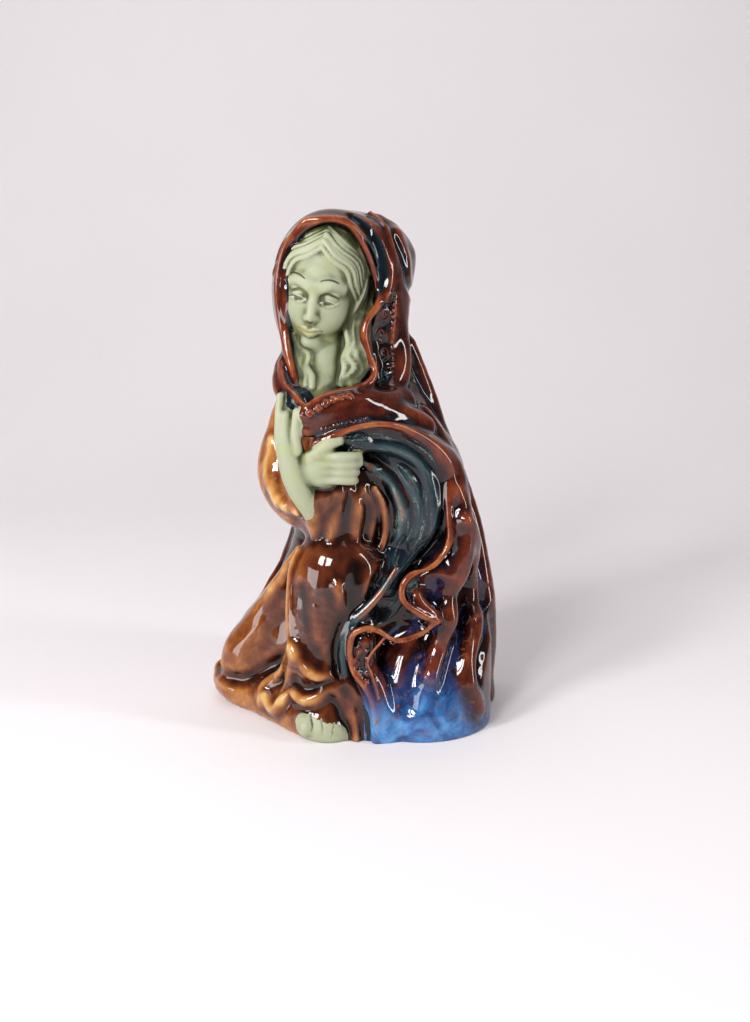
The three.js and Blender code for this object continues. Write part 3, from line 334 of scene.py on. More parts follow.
def slope(of, points, span):
    """The value and the unit slope of a field at single points."""
    star = points[:, None, :] + span * STAR
    d = in_parts(of, star, SMALL_BLOCKS)
    g = (d[..., None] * STAR).sum(1)
    length = np.maximum(np.linalg.norm(g, axis=1, keepdims=True), 1e-6)
    return d.mean(1), g / length


def press(guide, lift):
    """A guide moved onto the surface so far, then lifted off it."""
    rows = np.array(guide, float)
    p = rows[:, :3]
    for _ in range(4):
        d, n = slope(field, p, LAY_SPAN)
        p = p - np.clip(d, -1.5, 1.5)[:, None] * n
    d, n = slope(field, p, LAY_SPAN)
    rows[:, :3] = p + lift * n
    return rows


def ridge(zone, blend, lift, guide):
    sweep(zone, blend, press(guide, lift))


def groove(zone, blend, lift, guide):
    carve(zone, blend, press(guide, lift))


def between(first, last, t):
    return np.asarray(first) * (1 - t) + np.asarray(last) * t


def fan(zone, blend, lift, count, first, last):
    """Several ridges from one guide to another, laid on the surface as it is."""
    laid = [press(between(first, last, i / (count - 1)), lift) for i in range(count)]
    for guide in laid:
        sweep(zone, blend, guide)


def body():
    loft(MANTLE, 4, [[-10, 8, 12, 60, 45], [0, 8, 12, 60, 45], [15, 8, 11, 58, 45],
        [35, 10, 10, 55, 44], [60, 12, 10, 50, 42], [85, 13.5, 10, 44, 38], [110, 10.5, 9, 40.5, 34],
        [130, 6.5, 8, 36, 31], [150, 3, 7, 33, 28], [165, -1, 6, 29, 27], [180, -4, 6, 26, 26],
        [205, -4, 8, 25, 26]])
    blob(MANTLE, 6, [-3, 8, 206], [30, 29, 34])
    blob(MANTLE, 6, [-13, -2, 202], [25.5, 25, 38])
    blob(MANTLE, 6, [12.5, 0, 185], [10.5, 16, 30])
    # the hood's front, as deep as its rim
    sweep(MANTLE, 5, [[-22, -26, 159.5, 5], [-26, -22, 168.5, 5.5], [-27.5, -18, 180.5, 6],
        [-29, -14, 196.5, 6], [-29, -12.5, 210, 6], [-26, -12.5, 222.5, 6], [-20.5, -15, 230, 6],
        [-13, -17, 232, 6], [-5.5, -18, 231, 6], [-0.5, -17, 226.5, 6.5], [4, -13, 217.5, 7],
        [6.5, -9, 206.5, 7], [6.5, -8, 190.5, 7]])
    sweep(MANTLE, 6, [[-25.5, 2, 205.5, 10], [-22, 0, 221, 10], [-13.5, -4, 228, 10],
        [-3.5, -5, 228.5, 10], [4, -4, 223, 11], [9.5, -2, 208.5, 11]])
    # the mantle opens over her right arm
    dent(LINING, 5, [-46, -30, 84], [27, 25, 66])
    # robe body: belly and lap
    sweep(ROBE, 4, [[10, 0, 55, 30], [4, -6, 95, 24], [-2, -8, 130, 22], [-6, -6, 150, 16]])
    # far thigh and knee
    sweep(ROBE, 6, [[2, 2, 64, 26], [-22, 0, 50, 22], [-39, 0, 36, 17], [-51, 2, 25, 14.5]])
    sweep(ROBE, 8, [[-54, 10, 6, 13], [-38, -8, 8, 14], [-22, -32, 8, 13], [-14, -44, 8, 11]])
    blob(ROBE, 8, [-44, -4, 32.5], [13, 9, 28], [0, 0, 38])
    # left upper arm under the mantle
    sweep(ROBE, 4, [[-11, -32, 103, 9], [-1, -26, 116, 12], [14.5, -14, 130, 14]])
    # near leg: thigh to knee, shin down to the foot
    sweep(ROBE, 5, [[27, 0, 52, 26], [5, -20, 65.5, 22], [-8.5, -30, 68, 21], [-15, -36, 43.5, 16],
        [-15.5, -38, 19.5, 14]])
    blob(ROBE, 8, [-7.5, -33, 79], [20, 16, 17], [0, 0, 4])
    # side of the robe between near leg and mantle
    sweep(ROBE, 4, [[10.5, -28, 65.5, 12], [1, -34, 43, 10], [-2, -38, 19.5, 11], [-1, -42, -2, 10]])


def mantle_front():
    blob(MANTLE, 6, [26.5, -8, 109.5], [26, 27, 34], [0, 0, 10])
    blob(MANTLE, 6, [16.5, -10, 141.5], [23.5, 25, 15], [0, 0, 15])
    # lower panel standing in front
    loft(MANTLE, 4, [[-10, 31, -20, 35, 36], [0, 31, -20, 35, 36], [12, 31, -19, 34.5, 35.5],
        [26, 32, -16, 34, 35], [38, 34, -12, 32, 32], [50, 36, -6, 28, 28]])
    sweep(MANTLE, 4, [[4, -46, 47, 6], [4.5, -47, 35, 6], [9.5, -48, 23, 7], [13, -49, 11, 7],
        [14, -50, -2, 7]])
    blob(MANTLE, 5, [36.5, -18, 37.5], [16, 17, 18])
    # cloth behind the long rim, down to its pointed end
    sweep(MANTLE, 5, [[-10.5, -40, 140, 4], [3, -39, 143, 5], [15.5, -36, 143, 6],
        [27.5, -32, 137.5, 7], [39.5, -26, 128, 7.6], [45, -23, 117, 7.8], [47, -24, 101, 8.2],
        [48, -27, 87.5, 8.5], [42, -31, 77.5, 8], [33.5, -37, 72, 7], [29, -41, 68.5, 6],
        [29.5, -43, 64, 5.5], [35.5, -43, 59, 4.5]])
    sweep(MANTLE, 5, [[43.5, -20, 80, 9], [38.5, -26, 67.5, 9], [38.5, -31, 58.5, 8],
        [39.5, -36, 54.5, 6]])


def lining_scoop():
    carve(LINING, 3, [[-0.5, -47, 137, 5], [8.5, -47, 137.5, 7], [21, -45, 134, 9],
        [31, -43, 125, 11.2], [33.8, -44, 109.5, 12.1], [30.5, -46, 94, 12.5], [21, -47, 80, 10],
        [14, -49, 66.5, 7]])
    carve(LINING, 3, [[15, -45, 72, 7], [16, -45, 63, 10], [19.5, -46, 57, 10], [26, -46, 55, 7.5],
        [32.5, -46, 55, 4]])


def hood_cut():
    carve(LINING, 2, [[-11.5, -30, 221.5, 16], [-11, -30, 214.5, 21], [-11, -30, 202, 21.5],
        [-12.5, -30, 185, 18.5], [-9, -32, 171.5, 17.5], [-11, -36, 164, 13.5], [-19, -42, 156, 4]],
        [0.25, 1, 0], 0.62)


def legs_detail():
    # ridge of cloth along the far thigh
    sweep(ROBE, 4, [[-26, -20, 83, 2.5], [-31, -17, 74, 3.2], [-42, -9.5, 55.5, 3.8],
        [-54, -3, 34, 3.8], [-61.5, -1, 22.5, 4], [-62.5, -5, 14.5, 3.6]])
    # the hollowed plane below it
    groove(ROBE, 5, 6.6, [[-28.5, -31, 68, 6.8], [-34.5, -26, 53, 8.5], [-42.5, -20, 38, 8.7],
        [-49, -14, 27, 7.4]])
    # hem roll of the far knee
    sweep(ROBE, 8, [[-67, 11, 12, 5], [-64.5, 2, 8, 6], [-56, -7, 6.5, 6.4], [-46.5, -14.5, 6, 6.4],
        [-37, -26, 5, 5.5], [-28, -38, 5, 5], [-22, -46, 4, 4]])
    # crease over the hem
    groove(ROBE, 5, 1.2, [[-30.5, -40, 42, 1.3], [-37.5, -25, 30, 1.7], [-46.5, -16.5, 20.5, 1.9],
        [-55.5, -11.5, 15, 1.9], [-63.5, -4.5, 14.5, 1.7], [-69, 6, 17, 1]])
    # the robe's fold down the near shin
    ridge(ROBE, 4, -0.2, [[-26, -35.5, 86.5, 1.2], [-29, -35.5, 77.5, 1.8], [-30, -38, 64, 2],
        [-29.5, -42, 50, 2], [-27, -46, 41, 2], [-23, -49, 35.5, 2.1], [-17, -50.5, 31.5, 2.2],
        [-9, -50.5, 29, 2.1], [0, -50, 25.5, 1.7], [5, -49.5, 22, 1]])
    groove(ROBE, 5, 2.4, [[-23.5, -45, 71, 2], [-23, -47.5, 57.5, 2.8], [-21, -50, 46, 3],
        [-16, -52, 39.5, 2.4]])
    ridge(ROBE, 5, -0.6, [[-7.5, -51.5, 74, 1], [-5.5, -51, 68, 1.8], [-3.5, -50, 61, 1.8],
        [-2, -49, 56.5, 1]])
    # the plane between the shin's folds
    groove(ROBE, 6, 2, [[1, -48.5, 81.5, 2], [-4, -50, 63, 2.5], [-7.5, -50, 43.5, 2.5],
        [-6, -48.5, 30.5, 2]])
    # pocket above the foot
    groove(ROBE, 4, 1.5, [[-28.5, -44, 26.5, 3.5], [-23, -48.5, 24.5, 3.5], [-16.5, -51.5, 24.5, 3],
        [-11, -54, 27.5, 2]])
    # hem folds, fanning down from between the legs
    fan(ROBE, 4, -0.6, 2, [[-29.5, -47, 43.5, 2], [-39.5, -29, 27, 2.6], [-44, -22.5, 16.5, 3],
        [-44, -25.5, 9.5, 2.4]], [[-28.5, -49, 40.5, 2], [-32, -36.5, 27, 3], [-31, -33.5, 18.5, 3.4],
        [-33.5, -37, 13, 3]])
    # wavy edge over the toes
    ridge(ROBE, 3.5, 0, [[-43.5, -28.5, 12.5, 1.6], [-40.5, -31.5, 8.5, 1.9], [-36.5, -35.5, 9, 2.1],
        [-33.5, -38.5, 14.5, 2], [-31, -41.5, 19.5, 2], [-26.5, -45.5, 19.5, 2.2],
        [-22, -49, 18.5, 2.3], [-16.5, -51, 21.5, 2.5], [-12.5, -51, 25, 2.6], [-8.5, -50.5, 24, 2.4],
        [-5, -50, 19, 2.3], [-2.5, -50.5, 12.5, 2.2], [-0.5, -51, 6.5, 2], [0.5, -52, 0, 1.8]])
    # vertical folds of the dark cloth between robe and mantle
    fan(ROBE, 3, 0.4, 2, [[-6, -48, 32, 1.4], [-3, -49, 22.5, 1.8], [0, -51.5, 13.5, 1.8],
        [1, -54.5, 2, 1.6]], [[-5, -48, 40.5, 1.2], [-2.5, -48.5, 27.5, 1.6], [3, -49, 17.5, 1.8],
        [4.5, -50, 1, 1.6]])


def in_head(x, y, z, *radius):
    """A place given in the head's own frame: x to her left, -y to the face, z up."""
    place = np.array(HEAD_PLACE) + HEAD_SIZE * (turning(HEAD_TURN) @ np.array([x, y, z]))
    return [*place, *[HEAD_SIZE * r for r in radius]]


def ball(blend, centre, radii):
    blob(SKIN, blend, in_head(*centre), [HEAD_SIZE * r for r in radii], HEAD_TURN)


def socket(blend, centre, radii):
    dent(SKIN, blend, in_head(*centre), [HEAD_SIZE * r for r in radii], HEAD_TURN)


def line(blend, guide):
    sweep(SKIN, blend, [in_head(*row) for row in guide])


def crease(blend, lift, guide):
    groove(SKIN, blend, lift, [in_head(*row) for row in guide])


def welt(blend, lift, guide):
    ridge(SKIN, blend, lift, [in_head(*row) for row in guide])


def head():
    ball(2, HAIR_MIDDLE, HAIR_RADII)
    socket(2, [0, -22, 1], [14, 12, 19])
    # skull, face, jaw and chin
    ball(3, [0, 0, 3], [15.4, 18, 20])
    ball(3, [0, -5, -4], [14, 13, 19])
    ball(5, [0, -7, -14.5], [9.3, 9.2, 9.6])
    ball(3, [0, -14, -20.8], [4.2, 3.5, 3.6])
    for s in (-1, 1):
        # cheek, eye socket, brow and side of the nose
        ball(6, [7 * s, -11, -7.5], [5.6, 4.9, 6.8])
        socket(3, [6.3 * s, -19.6, 0], [4.4, 2.6, 2.8])
        eye(s)
        line(4, [[3 * s, -16.8, 4.4, 1], [7 * s, -16.3, 5.8, 1.1], [11 * s, -13, 4.4, 0.9]])
        ball(1.8, [1.8 * s, -17.5, -9.2], [1.1, 1.6, 1.1])
    line(2.6, [[0, -16.3, 4.6, 1.2], [0, -17.5, -1.6, 1.3], [0, -18.8, -6.6, 1.5],
        [0, -19.2, -8.6, 1.5]])
    mouth()
    # neck and breast
    sweep(SKIN, 3, [in_head(0, 2, -12, 10), [-13, -16, 173.5, 9.5], [-13.5, -22, 163.5, 10],
        [-18, -30, 157.5, 8]])
    sweep(SKIN, 2.5, [in_head(0, -1, -14, 5), in_head(0, 2, -21, 6)])
    hair()


def eye(s):
    """Eyeball, two lids and the crease above the upper one; s is the side."""
    ball(0.8, [6.2 * s, -14, -0.5], [3.9, 3.5, 2.9])
    ball(0.6, [6.3 * s, -13.9, 1.2], [4.2, 3.6, 2.4])
    welt(0.5, 0, [[2.7 * s, -15.8, -2.2, 0.25], [4.4 * s, -17.2, -1.4, 0.36],
        [6.3 * s, -17.6, -1.1, 0.42], [8.3 * s, -16.8, -1.5, 0.36], [10 * s, -14.9, -2.3, 0.25]])
    welt(0.8, -0.1, [[2.9 * s, -15.8, -1.8, 0.25], [4.6 * s, -16.8, -2.7, 0.4],
        [6.3 * s, -17.1, -3, 0.4], [8.1 * s, -16.4, -2.7, 0.4], [9.8 * s, -14.9, -1.8, 0.25]])
    crease(1.2, 0.45, [[3 * s, -17, 1, 0.3], [6.2 * s, -18, 2.4, 0.5], [9.9 * s, -15.4, 0.9, 0.3]])


def mouth():
    """Lips with the line between them, the groove under the nose, and the nostrils."""
    line(1.2, [[-4.9, -15.2, -14.1, 0.5], [-2, -17.3, -14.3, 0.9], [0, -17.5, -14.7, 0.8],
        [2, -17.3, -14.3, 0.9], [4.9, -15.2, -14.1, 0.5]])
    line(1.2, [[-3.8, -15.5, -15.1, 0.5], [0, -17, -16.5, 1.2], [3.8, -15.5, -15.1, 0.5]])
    crease(0.6, 0.25, [[-5.1, -16, -14.3, 0.3], [-2, -19, -15.1, 0.4], [0, -19, -15.6, 0.4],
        [2, -19, -15.1, 0.4], [5.1, -16, -14.3, 0.3]])
    crease(1, 0.5, [[0, -19, -11.8, 0.6], [0, -19, -13, 0.6]])
    for s in (-1, 1):
        socket(0.5, [1 * s, -18.8, -10.4], [0.5, 0.9, 0.5])


def on_hair(x, y, z):
    """A place on the mass of hair, in the head's own frame."""
    middle, radii = np.array(HAIR_MIDDLE), np.array(HAIR_RADII)
    q = (np.array([x, y, z]) - middle) / radii
    return middle + radii * q / np.linalg.norm(q)


def hair():
    """Waves from the parting down each side, finer strands on them, and locks to the collar."""
    wave = [[0.6, -13.7, 24], [6.5, -16.3, 19.5], [12.5, -12.2, 13.5], [17, -12.3, 6], [18.5, -7.2, -2],
        [19.5, -7.3, -9], [17.5, -3.2, -16]]
    for s in (-1, 1):
        for i in range(HAIR_WAVES):
            back = HAIR_WAVE_STEP * i
            radius = HAIR_WAVE if i else HAIR_ROLL
            sweep(SKIN, 2.5, [in_head(*on_hair(s * x, y + back, z), radius) for x, y, z in wave])
        for i in range(HAIR_STRANDS):
            back = HAIR_STRAND_STEP * (i - 0.5)
            rows = [in_head(*on_hair(s * x, y + back, z), 0.7) for x, y, z in wave]
            ridge(SKIN, 0.9, -0.25, rows)
    sweep(SKIN, 2, [[4.5, -3, 208, 4], [3, -8, 198, 6], [1.5, -13, 186.5, 6.6], [0.5, -19, 173.5, 7],
        [-3, -27, 165.5, 4.5]])
    sweep(SKIN, 2, [[-28, -6, 190.5, 4.5], [-25, -12, 178.5, 5], [-22, -19, 169.5, 5],
        [-20, -28, 162, 3.5]])
    fan(SKIN, 1.6, 0.4, 4, [[4.5, -14, 215, 0.3], [2.5, -16.5, 206, 0.8], [0.5, -18.5, 198, 1.1],
        [-2.5, -20, 189, 1.5], [-2, -22, 181, 1.8], [-4.5, -25, 175, 1.8], [-3.5, -27.5, 170, 1.6],
        [-7, -29, 164, 1]], [[9.5, -9, 215, 0.3], [8.5, -10, 206, 0.7], [7, -13, 198, 1.1],
        [5, -16, 189, 1.5], [5.5, -21.5, 182, 1.8], [3.5, -24, 176, 1.8], [5, -26.5, 170, 1.6],
        [0.5, -30, 165, 1]])
    fan(SKIN, 1.4, 0.3, 3, [[-29, -15, 186.5, 1.2], [-27.5, -18, 179.5, 1.5], [-26.5, -22, 173.5, 1.5],
        [-24, -27, 168, 1.6], [-22, -32, 162, 1.2]], [[-23, -18, 181.5, 1.2], [-20.5, -21, 176, 1.5],
        [-21, -24, 170.5, 1.5], [-18, -29, 166, 1.5], [-18.5, -33, 161, 1.2]])


def arms():
    # right sleeve hanging at the far side
    sweep(ROBE, 5, [[-26, 4, 153.5, 10], [-32, 3, 139, 9.8], [-37, 1, 124, 9.2], [-37.5, -3, 114, 9],
        [-32, -12, 106.5, 9], [-25.5, -24, 108.5, 8.5], [-20, -35, 116.5, 6.5]])
    sweep(ROBE, 5, [[-34.5, 8, 115.5, 8], [-30, -2, 101, 8.5], [-24, -18, 101, 8]])
    fan(ROBE, 4, 0.1, 3, [[-39.5, -6.5, 133.5, 1.4], [-42.5, -13.5, 119.5, 1.8],
        [-37, -22.5, 108, 1.6]], [[-34.5, -7.5, 128, 1.4], [-33, -18.5, 117.5, 1.8],
        [-26, -32.5, 105, 1.6]])
    # left sleeve, gathered under the hand
    blob(ROBE, 4, [-7.5, -24, 102.5], [18, 16, 20])
    sweep(ROBE, 3, [[-16.5, -36, 102, 6], [-14.5, -40, 112, 6], [-9, -40, 117, 6]])
    fan(ROBE, 4, -0.2, 4, [[-14, -42, 120, 1.4], [-17.5, -41.5, 111, 2.4], [-18, -38, 95.5, 1]],
        [[4, -36.5, 116, 1.6], [9.5, -34, 107, 2.6], [6.5, -32.5, 94, 1.6]])
    # left forearm rising across the chest
    sweep(SKIN, 2, [[-16.5, -38, 101, 2.6], [-20.5, -41.5, 110, 5], [-25, -42.5, 121, 6.6],
        [-28, -42, 132, 6.6], [-30, -41.5, 142, 5.6], [-30.5, -40, 150, 4.6]])
    sweep(SKIN, 1.6, [[-25.5, -45, 154, 1.6], [-26, -46, 145, 2.1], [-25, -46, 136.5, 2.4]])
    sweep(SKIN, 1.2, [[-33, -39, 160, 1.7], [-33.5, -41.5, 151, 2], [-33, -43, 140, 2.3]])
    # right hand, crossing under it
    blob(SKIN, 2.5, [-14, -45, 128.6], [9.6, 5.8, 9.2])
    for k in range(FINGER_COUNT):
        z = 134.2 - FINGER_STEP * k
        sweep(SKIN, 1.2, [[-15, -47.3, z, FINGER_RADIUS], [-6.7, -49.2, z, FINGER_RADIUS],
            [-1, -48.3, z - 0.2 * k, 2.2], [2 - 0.5 * k, -46, z - 0.4 * k, 1.8]])
    sweep(SKIN, 2, [[-19, -46, 134, 2.8], [-12.5, -48, 138.6, 2.7], [-6.5, -47, 141, 2.1]])


def foot():
    sweep(SKIN, 3, [[-20.5, -44, 8, 7], [-19.5, -49.5, 6.5, 6.6], [-12, -50.5, 3.5, 6.6],
        [-4.5, -47.5, 0.5, 5]])
    for k in range(TOE_COUNT):
        x = -22.4 + TOE_STEP * k
        z = 8.5 - 1.9 * k
        sweep(SKIN, 1.2, [[x, -46, z + 2.5, TOE_RADIUS], [x, -53.6 + 0.6 * k, z, TOE_RADIUS - 0.2 * k],
            [x, -54.4 + 0.8 * k, z - 2.5, TOE_RADIUS - 0.3 * k]])
    # the lines between the toes
    for k in range(TOE_COUNT - 1):
        x = -22.4 + TOE_STEP * (k + 0.5)
        top = 12.5 - 1.9 * k
        groove(SKIN, 0.4, 0.15, [[x, -52, top, 0.3], [x + 0.8, -57, top - 3, 0.5],
            [x + 0.4, -58, top - 6, 0.3]])


def rims():
    # hood rim round the face
    sweep(MANTLE, 2.5, [[-23, -38, 156.5, 1.1], [-27, -30, 167, 1.2], [-31.5, -22, 181, 1.2],
        [-34.5, -18, 196.7, 1.2], [-35, -16, 210.5, 1.2], [-31.5, -17, 224.2, 1.2],
        [-26, -18, 231.5, 1.3], [-21.5, -19, 236, 1.8], [-14, -20, 237.2, 1.6], [-5.5, -20, 236.6, 1.8],
        [0, -20, 232.5, 1.4], [5.5, -17, 223, 1.4], [9.5, -15, 212, 1.4], [10.5, -14, 201.5, 1.3],
        [9.5, -13, 194, 1.1]])
    # lining strip between the two edges
    groove(LINING, 2, 0.8, [[-0.5, -10, 238, 2.5], [5.5, -12.5, 233.5, 3.2], [11, -15, 223, 3.4],
        [13.5, -16.5, 211, 3], [13, -17, 202.5, 2.2], [10.5, -17.5, 196, 1.2]])
    # band for the relief, beside the hood's front edge
    groove(MANTLE, 2, 2, [[17.5, -15, 201.5, 3], [15, -16, 193.5, 4.5], [13, -16.5, 184.5, 5],
        [14, -16.5, 176.5, 4.5], [15.5, -17, 168.5, 4], [13.5, -18.5, 161, 2.5]])
    # front edge of the mantle, hood to clasp
    sweep(MANTLE, 3, [[7.5, 2, 239, 0.8], [11.5, 0, 236, 1], [15, -4, 230.5, 1.2], [17, -9, 219, 1.2],
        [16, -13, 207.5, 1.2], [10.5, -18, 198.5, 1.4], [5.5, -22, 190.5, 1.5], [5, -24, 183, 1.5],
        [7.5, -25, 175.5, 1.6], [9.5, -27, 169, 1.7], [6, -31, 164, 1.7], [-1.5, -37, 162, 1.7],
        [-10.5, -42, 161, 1.6], [-17.5, -45, 158, 1.5], [-22, -46, 153, 1.5]])
    # outer fold beside the head
    sweep(MANTLE, 6, [[18.5, 4, 228, 3.5], [20.5, 2, 216.5, 4], [18.5, 0, 203.5, 3.6],
        [19, -3, 189, 4.2], [22, -7, 175.5, 4.5], [20.5, -12, 164, 4.5], [15, -20, 158, 4.2],
        [6.5, -29, 156, 3.5]])
    # back lump of the hood
    sweep(MANTLE, 5, [[11, 9, 233.5, 4], [16.5, 12, 227, 6.2], [21, 14, 218.5, 8], [21.5, 14, 211, 6]])
    groove(MANTLE, 3, 1, [[18.5, -2.5, 227, 1.2], [22.5, -3, 218, 2.2], [24, -3, 209, 2],
        [26, 2, 203, 2], [26, 12, 202, 2]])


def collar():
    sweep(MANTLE, 4, [[-19.5, -44.5, 152, 4], [-11, -42, 154.5, 5.6], [0.5, -37, 156, 6.5],
        [14, -28, 155, 6], [23, -18, 154.5, 5]])
    sweep(MANTLE, 4, [[-20, -45, 145.5, 3], [-10.5, -43, 148, 4.5], [3, -39, 150, 5],
        [19, -31, 150.5, 5], [33, -22, 144, 4]])
    # rim over the left arm
    sweep(MANTLE, 3, [[-17.5, -46.5, 140, 1.1], [-8, -47.5, 144, 1.2], [3, -46.6, 147.5, 1.3],
        [14.5, -43.6, 148, 1.3], [25.5, -39.6, 144.5, 1.5], [36.4, -34.2, 137, 1.6],
        [42.8, -31, 128.5, 1.6], [44.6, -30.4, 121, 1.5], [43.2, -32, 114, 1.3], [43.5, -35, 104, 1.3],
        [44, -37, 93.5, 1.3], [40.5, -40, 85.5, 1.3], [34, -43.6, 80.5, 1.3], [26, -46.6, 78.5, 1.4],
        [22, -48.6, 73.5, 1.5], [22.5, -49.6, 67.5, 1.5], [27, -49.6, 63, 1.5], [33, -48.6, 59, 1.4],
        [38, -46.6, 56.5, 1.1]])
    # cloth behind the wrist and above the hand
    blob(LINING, 2, [-24, -36, 153], [8, 6, 10])
    blob(LINING, 2, [-2, -41, 140.5], [10, 5, 5])
    # left collar piece
    sweep(MANTLE, 4, [[-30.5, -12, 177, 2.5], [-33, -18, 169.5, 4], [-32, -27, 161.5, 5],
        [-26.5, -37, 156, 4]])
    sweep(MANTLE, 2.5, [[-33.5, -22, 173, 1], [-32, -31, 165, 1.1], [-25.5, -41, 159.5, 1.2],
        [-21, -46, 156, 1.2]])


def right_edge():
    sweep(MANTLE, 2.5, [[-35, 0, 146, 2], [-34, 12, 120, 2.2], [-28, 15, 96, 2.4], [-33, 15, 74, 2.6],
        [-47, 14, 48, 2.6], [-60, 12, 30, 2.6], [-65, 15, 12, 2.6], [-66, 17, -4, 2.6]])


def lining_folds():
    fan(LINING, 4, 0.4, 3, LINING_OUTER, LINING_INNER)
    # the lining's long edge, down to the floor
    sweep(LINING, 3, [[19, -42, 80, 0.8], [12, -46, 69.5, 1.6], [5, -48, 62, 1.9],
        [-0.5, -49, 56.5, 1.9], [-4, -49, 49.5, 2], [-5, -49, 42, 2], [-4.5, -49, 35.5, 1.8],
        [-2.5, -49, 28.5, 1.8], [1, -50, 23, 1.8], [4.5, -51, 18, 1.8], [6.5, -52, 11, 1.8],
        [7, -52, -1, 1.8]])
    ridge(ROBE, 2, 0.8, [[8.5, -34, 116.5, 1.6], [13.5, -32.5, 108, 2], [14.5, -32, 97, 2],
        [12, -33, 87.5, 1.5]])


def lower_edge():
    sweep(MANTLE, 3, [[38, -46, 56.5, 0.9], [32.5, -48, 52, 1], [23.5, -51, 49, 1.2],
        [17.5, -52, 49.5, 1.2], [11, -53, 54, 1.4], [5, -53, 55, 1.4], [-0.5, -53, 52, 1.4],
        [-2, -53, 45, 1.4], [-1.5, -53, 38.5, 1.4], [0.5, -54, 33, 1.4], [4, -54, 28.5, 1.4],
        [6.5, -54, 24.5, 1.4], [8.5, -55, 20, 1.4], [9.5, -56, 12.5, 1.4], [10, -56, 0.5, 1.4]])


def outer_folds():
    # hollow below the rim's pointed end, and its neighbours
    groove(MANTLE, 5, 1, [[32.5, -44, 74.5, 3], [38, -41.5, 70, 5], [40, -38.5, 62, 3]])
    groove(MANTLE, 6, 1.4, [[52, -14.5, 64, 2.5], [50.5, -23, 54, 3.8], [47.5, -33.5, 42.5, 4.4],
        [44, -43.5, 32.5, 3.6], [42, -49.5, 25, 2]])
    groove(MANTLE, 6, 1.6, [[32.5, -41, 45, 2], [28.5, -46.5, 35, 3.4], [26, -50.5, 25, 3],
        [25, -53.5, 17, 2]])
    groove(MANTLE, 5, 1, [[60.5, -3.5, 53, 2], [59, -21.5, 43.5, 4], [56, -33.5, 32.5, 4.5],
        [57.5, -40, 23, 3]])
    sweep(MANTLE, 4, [[24, 3, 182, 1.5], [31, 4, 164, 2.5], [37.5, 6, 148, 3], [41, 6, 132, 3],
        [49.5, 6, 106, 4], [57, 8, 80, 4], [62, 8, 57, 4.2], [62.5, 8, 28.5, 5.5],
        [60.5, 8, 13.5, 5.5]])
    groove(MANTLE, 2, 1, [[52, -31, 104.5, 1.2], [56, -20.5, 90, 2], [61.5, -7.5, 69.5, 2.2],
        [64, 2.5, 53, 1.8]])
    groove(MANTLE, 3, 1.3, [[33, -19, 146, 1.5], [44.5, -20.5, 128, 1.9], [49.8, -21.5, 108, 2.3],
        [53.5, -18, 88, 2.2]])
    ridge(MANTLE, 4, -1, [[34, -14, 150, 1.6], [41, -18, 130, 2.4], [48, -17, 108, 2.8],
        [54, -13, 86, 2.8], [59, -6, 66, 2.2]])
    ridge(MANTLE, 6, 0, [[47.5, -30.5, 114.5, 2.5], [51, -32, 105.5, 3.5], [51, -33.5, 91.5, 4],
        [48.5, -35, 77, 4.2], [45, -36.5, 66, 4.2], [43, -39, 54.5, 3.8], [39, -43, 42, 3.2],
        [35.5, -48.5, 30.5, 2.4]])
    ridge(MANTLE, 6, 0, [[52, -36, 102, 2], [55, -25, 87, 2.8], [59, -13.5, 69, 3.2],
        [58.5, -12.5, 56, 3.3], [55, -23.5, 44.5, 3.3], [52, -35.5, 34.5, 3.3], [53, -40.5, 23.5, 3],
        [58.5, -40.5, 11.5, 2.2]])
    blob(MANTLE, 3, [63, 2, 0], [6, 9, 8])
    # folds down the back
    for k in range(BACK_FOLDS):
        angle = math.radians(BACK_FOLD_START + BACK_FOLD_STEP * k)
        c, s = math.cos(angle), math.sin(angle)
        sweep(MANTLE, 5, [[2 + 25 * c, 7 + 21 * s, 178, 1.5], [5 + 31 * c, 8 + 25 * s, 150, 2],
            [12 + 43 * c, 10 + 34 * s, 100, 4], [9 + 55 * c, 8 + 43 * s, 50, 5.5],
            [4 + 60 * c, 7 + 47 * s, 6, 5.5]])


def seat(centre):
    """The place on the surface nearest to a point, and the outward direction there."""
    middle = press([[*centre, 0]], 0)[0, :3]
    return middle, slope(field, middle[None], LAY_SPAN)[1][0]


def curl(zone, centre, along, size, turns):
    """A raised spiral on the surface, its outer end towards along; negative turns go the other way."""
    middle, normal = seat(centre)
    u = np.asarray(along, float) - normal * (normal @ np.asarray(along, float))
    u /= np.linalg.norm(u)
    v = np.cross(normal, u)
    rows = []
    for t in np.linspace(0, 1, CURL_POINTS):
        angle = 2 * math.pi * turns * t
        reach = size * (1 - 0.75 * t)
        place = middle + reach * (math.cos(angle) * u + math.sin(angle) * v)
        rows.append([*place, CURL_RADIUS * (1 - 0.2 * t)])
    ridge(zone, 0.9, CURL_LIFT, rows)


def beads(zone, guide, count, radius):
    """Small raised dots, evenly placed along a guide on the surface."""
    rows = spline(press([[*row, 0] for row in guide], 0), 12)[:, :3]
    run = np.r_[0, np.cumsum(np.linalg.norm(np.diff(rows, axis=0), axis=1))]
    for at in np.linspace(0, run[-1], count):
        centre = [np.interp(at, run, rows[:, i]) for i in range(3)]
        blob(zone, 0.4, centre, [radius] * 3)


def flower(zone, centre, size):
    """A round boss with petals round it."""
    middle, normal = seat(centre)
    u = np.cross(normal, [0, 0, 1])
    u /= np.linalg.norm(u)
    v = np.cross(normal, u)
    blob(zone, 0.3, middle, [0.35 * size] * 3)
    for k in range(PETALS):
        angle = 2 * math.pi * k / PETALS
        blob(zone, 0.3, middle + 0.65 * size * (math.cos(angle) * u + math.sin(angle) * v),
            [0.3 * size] * 3)


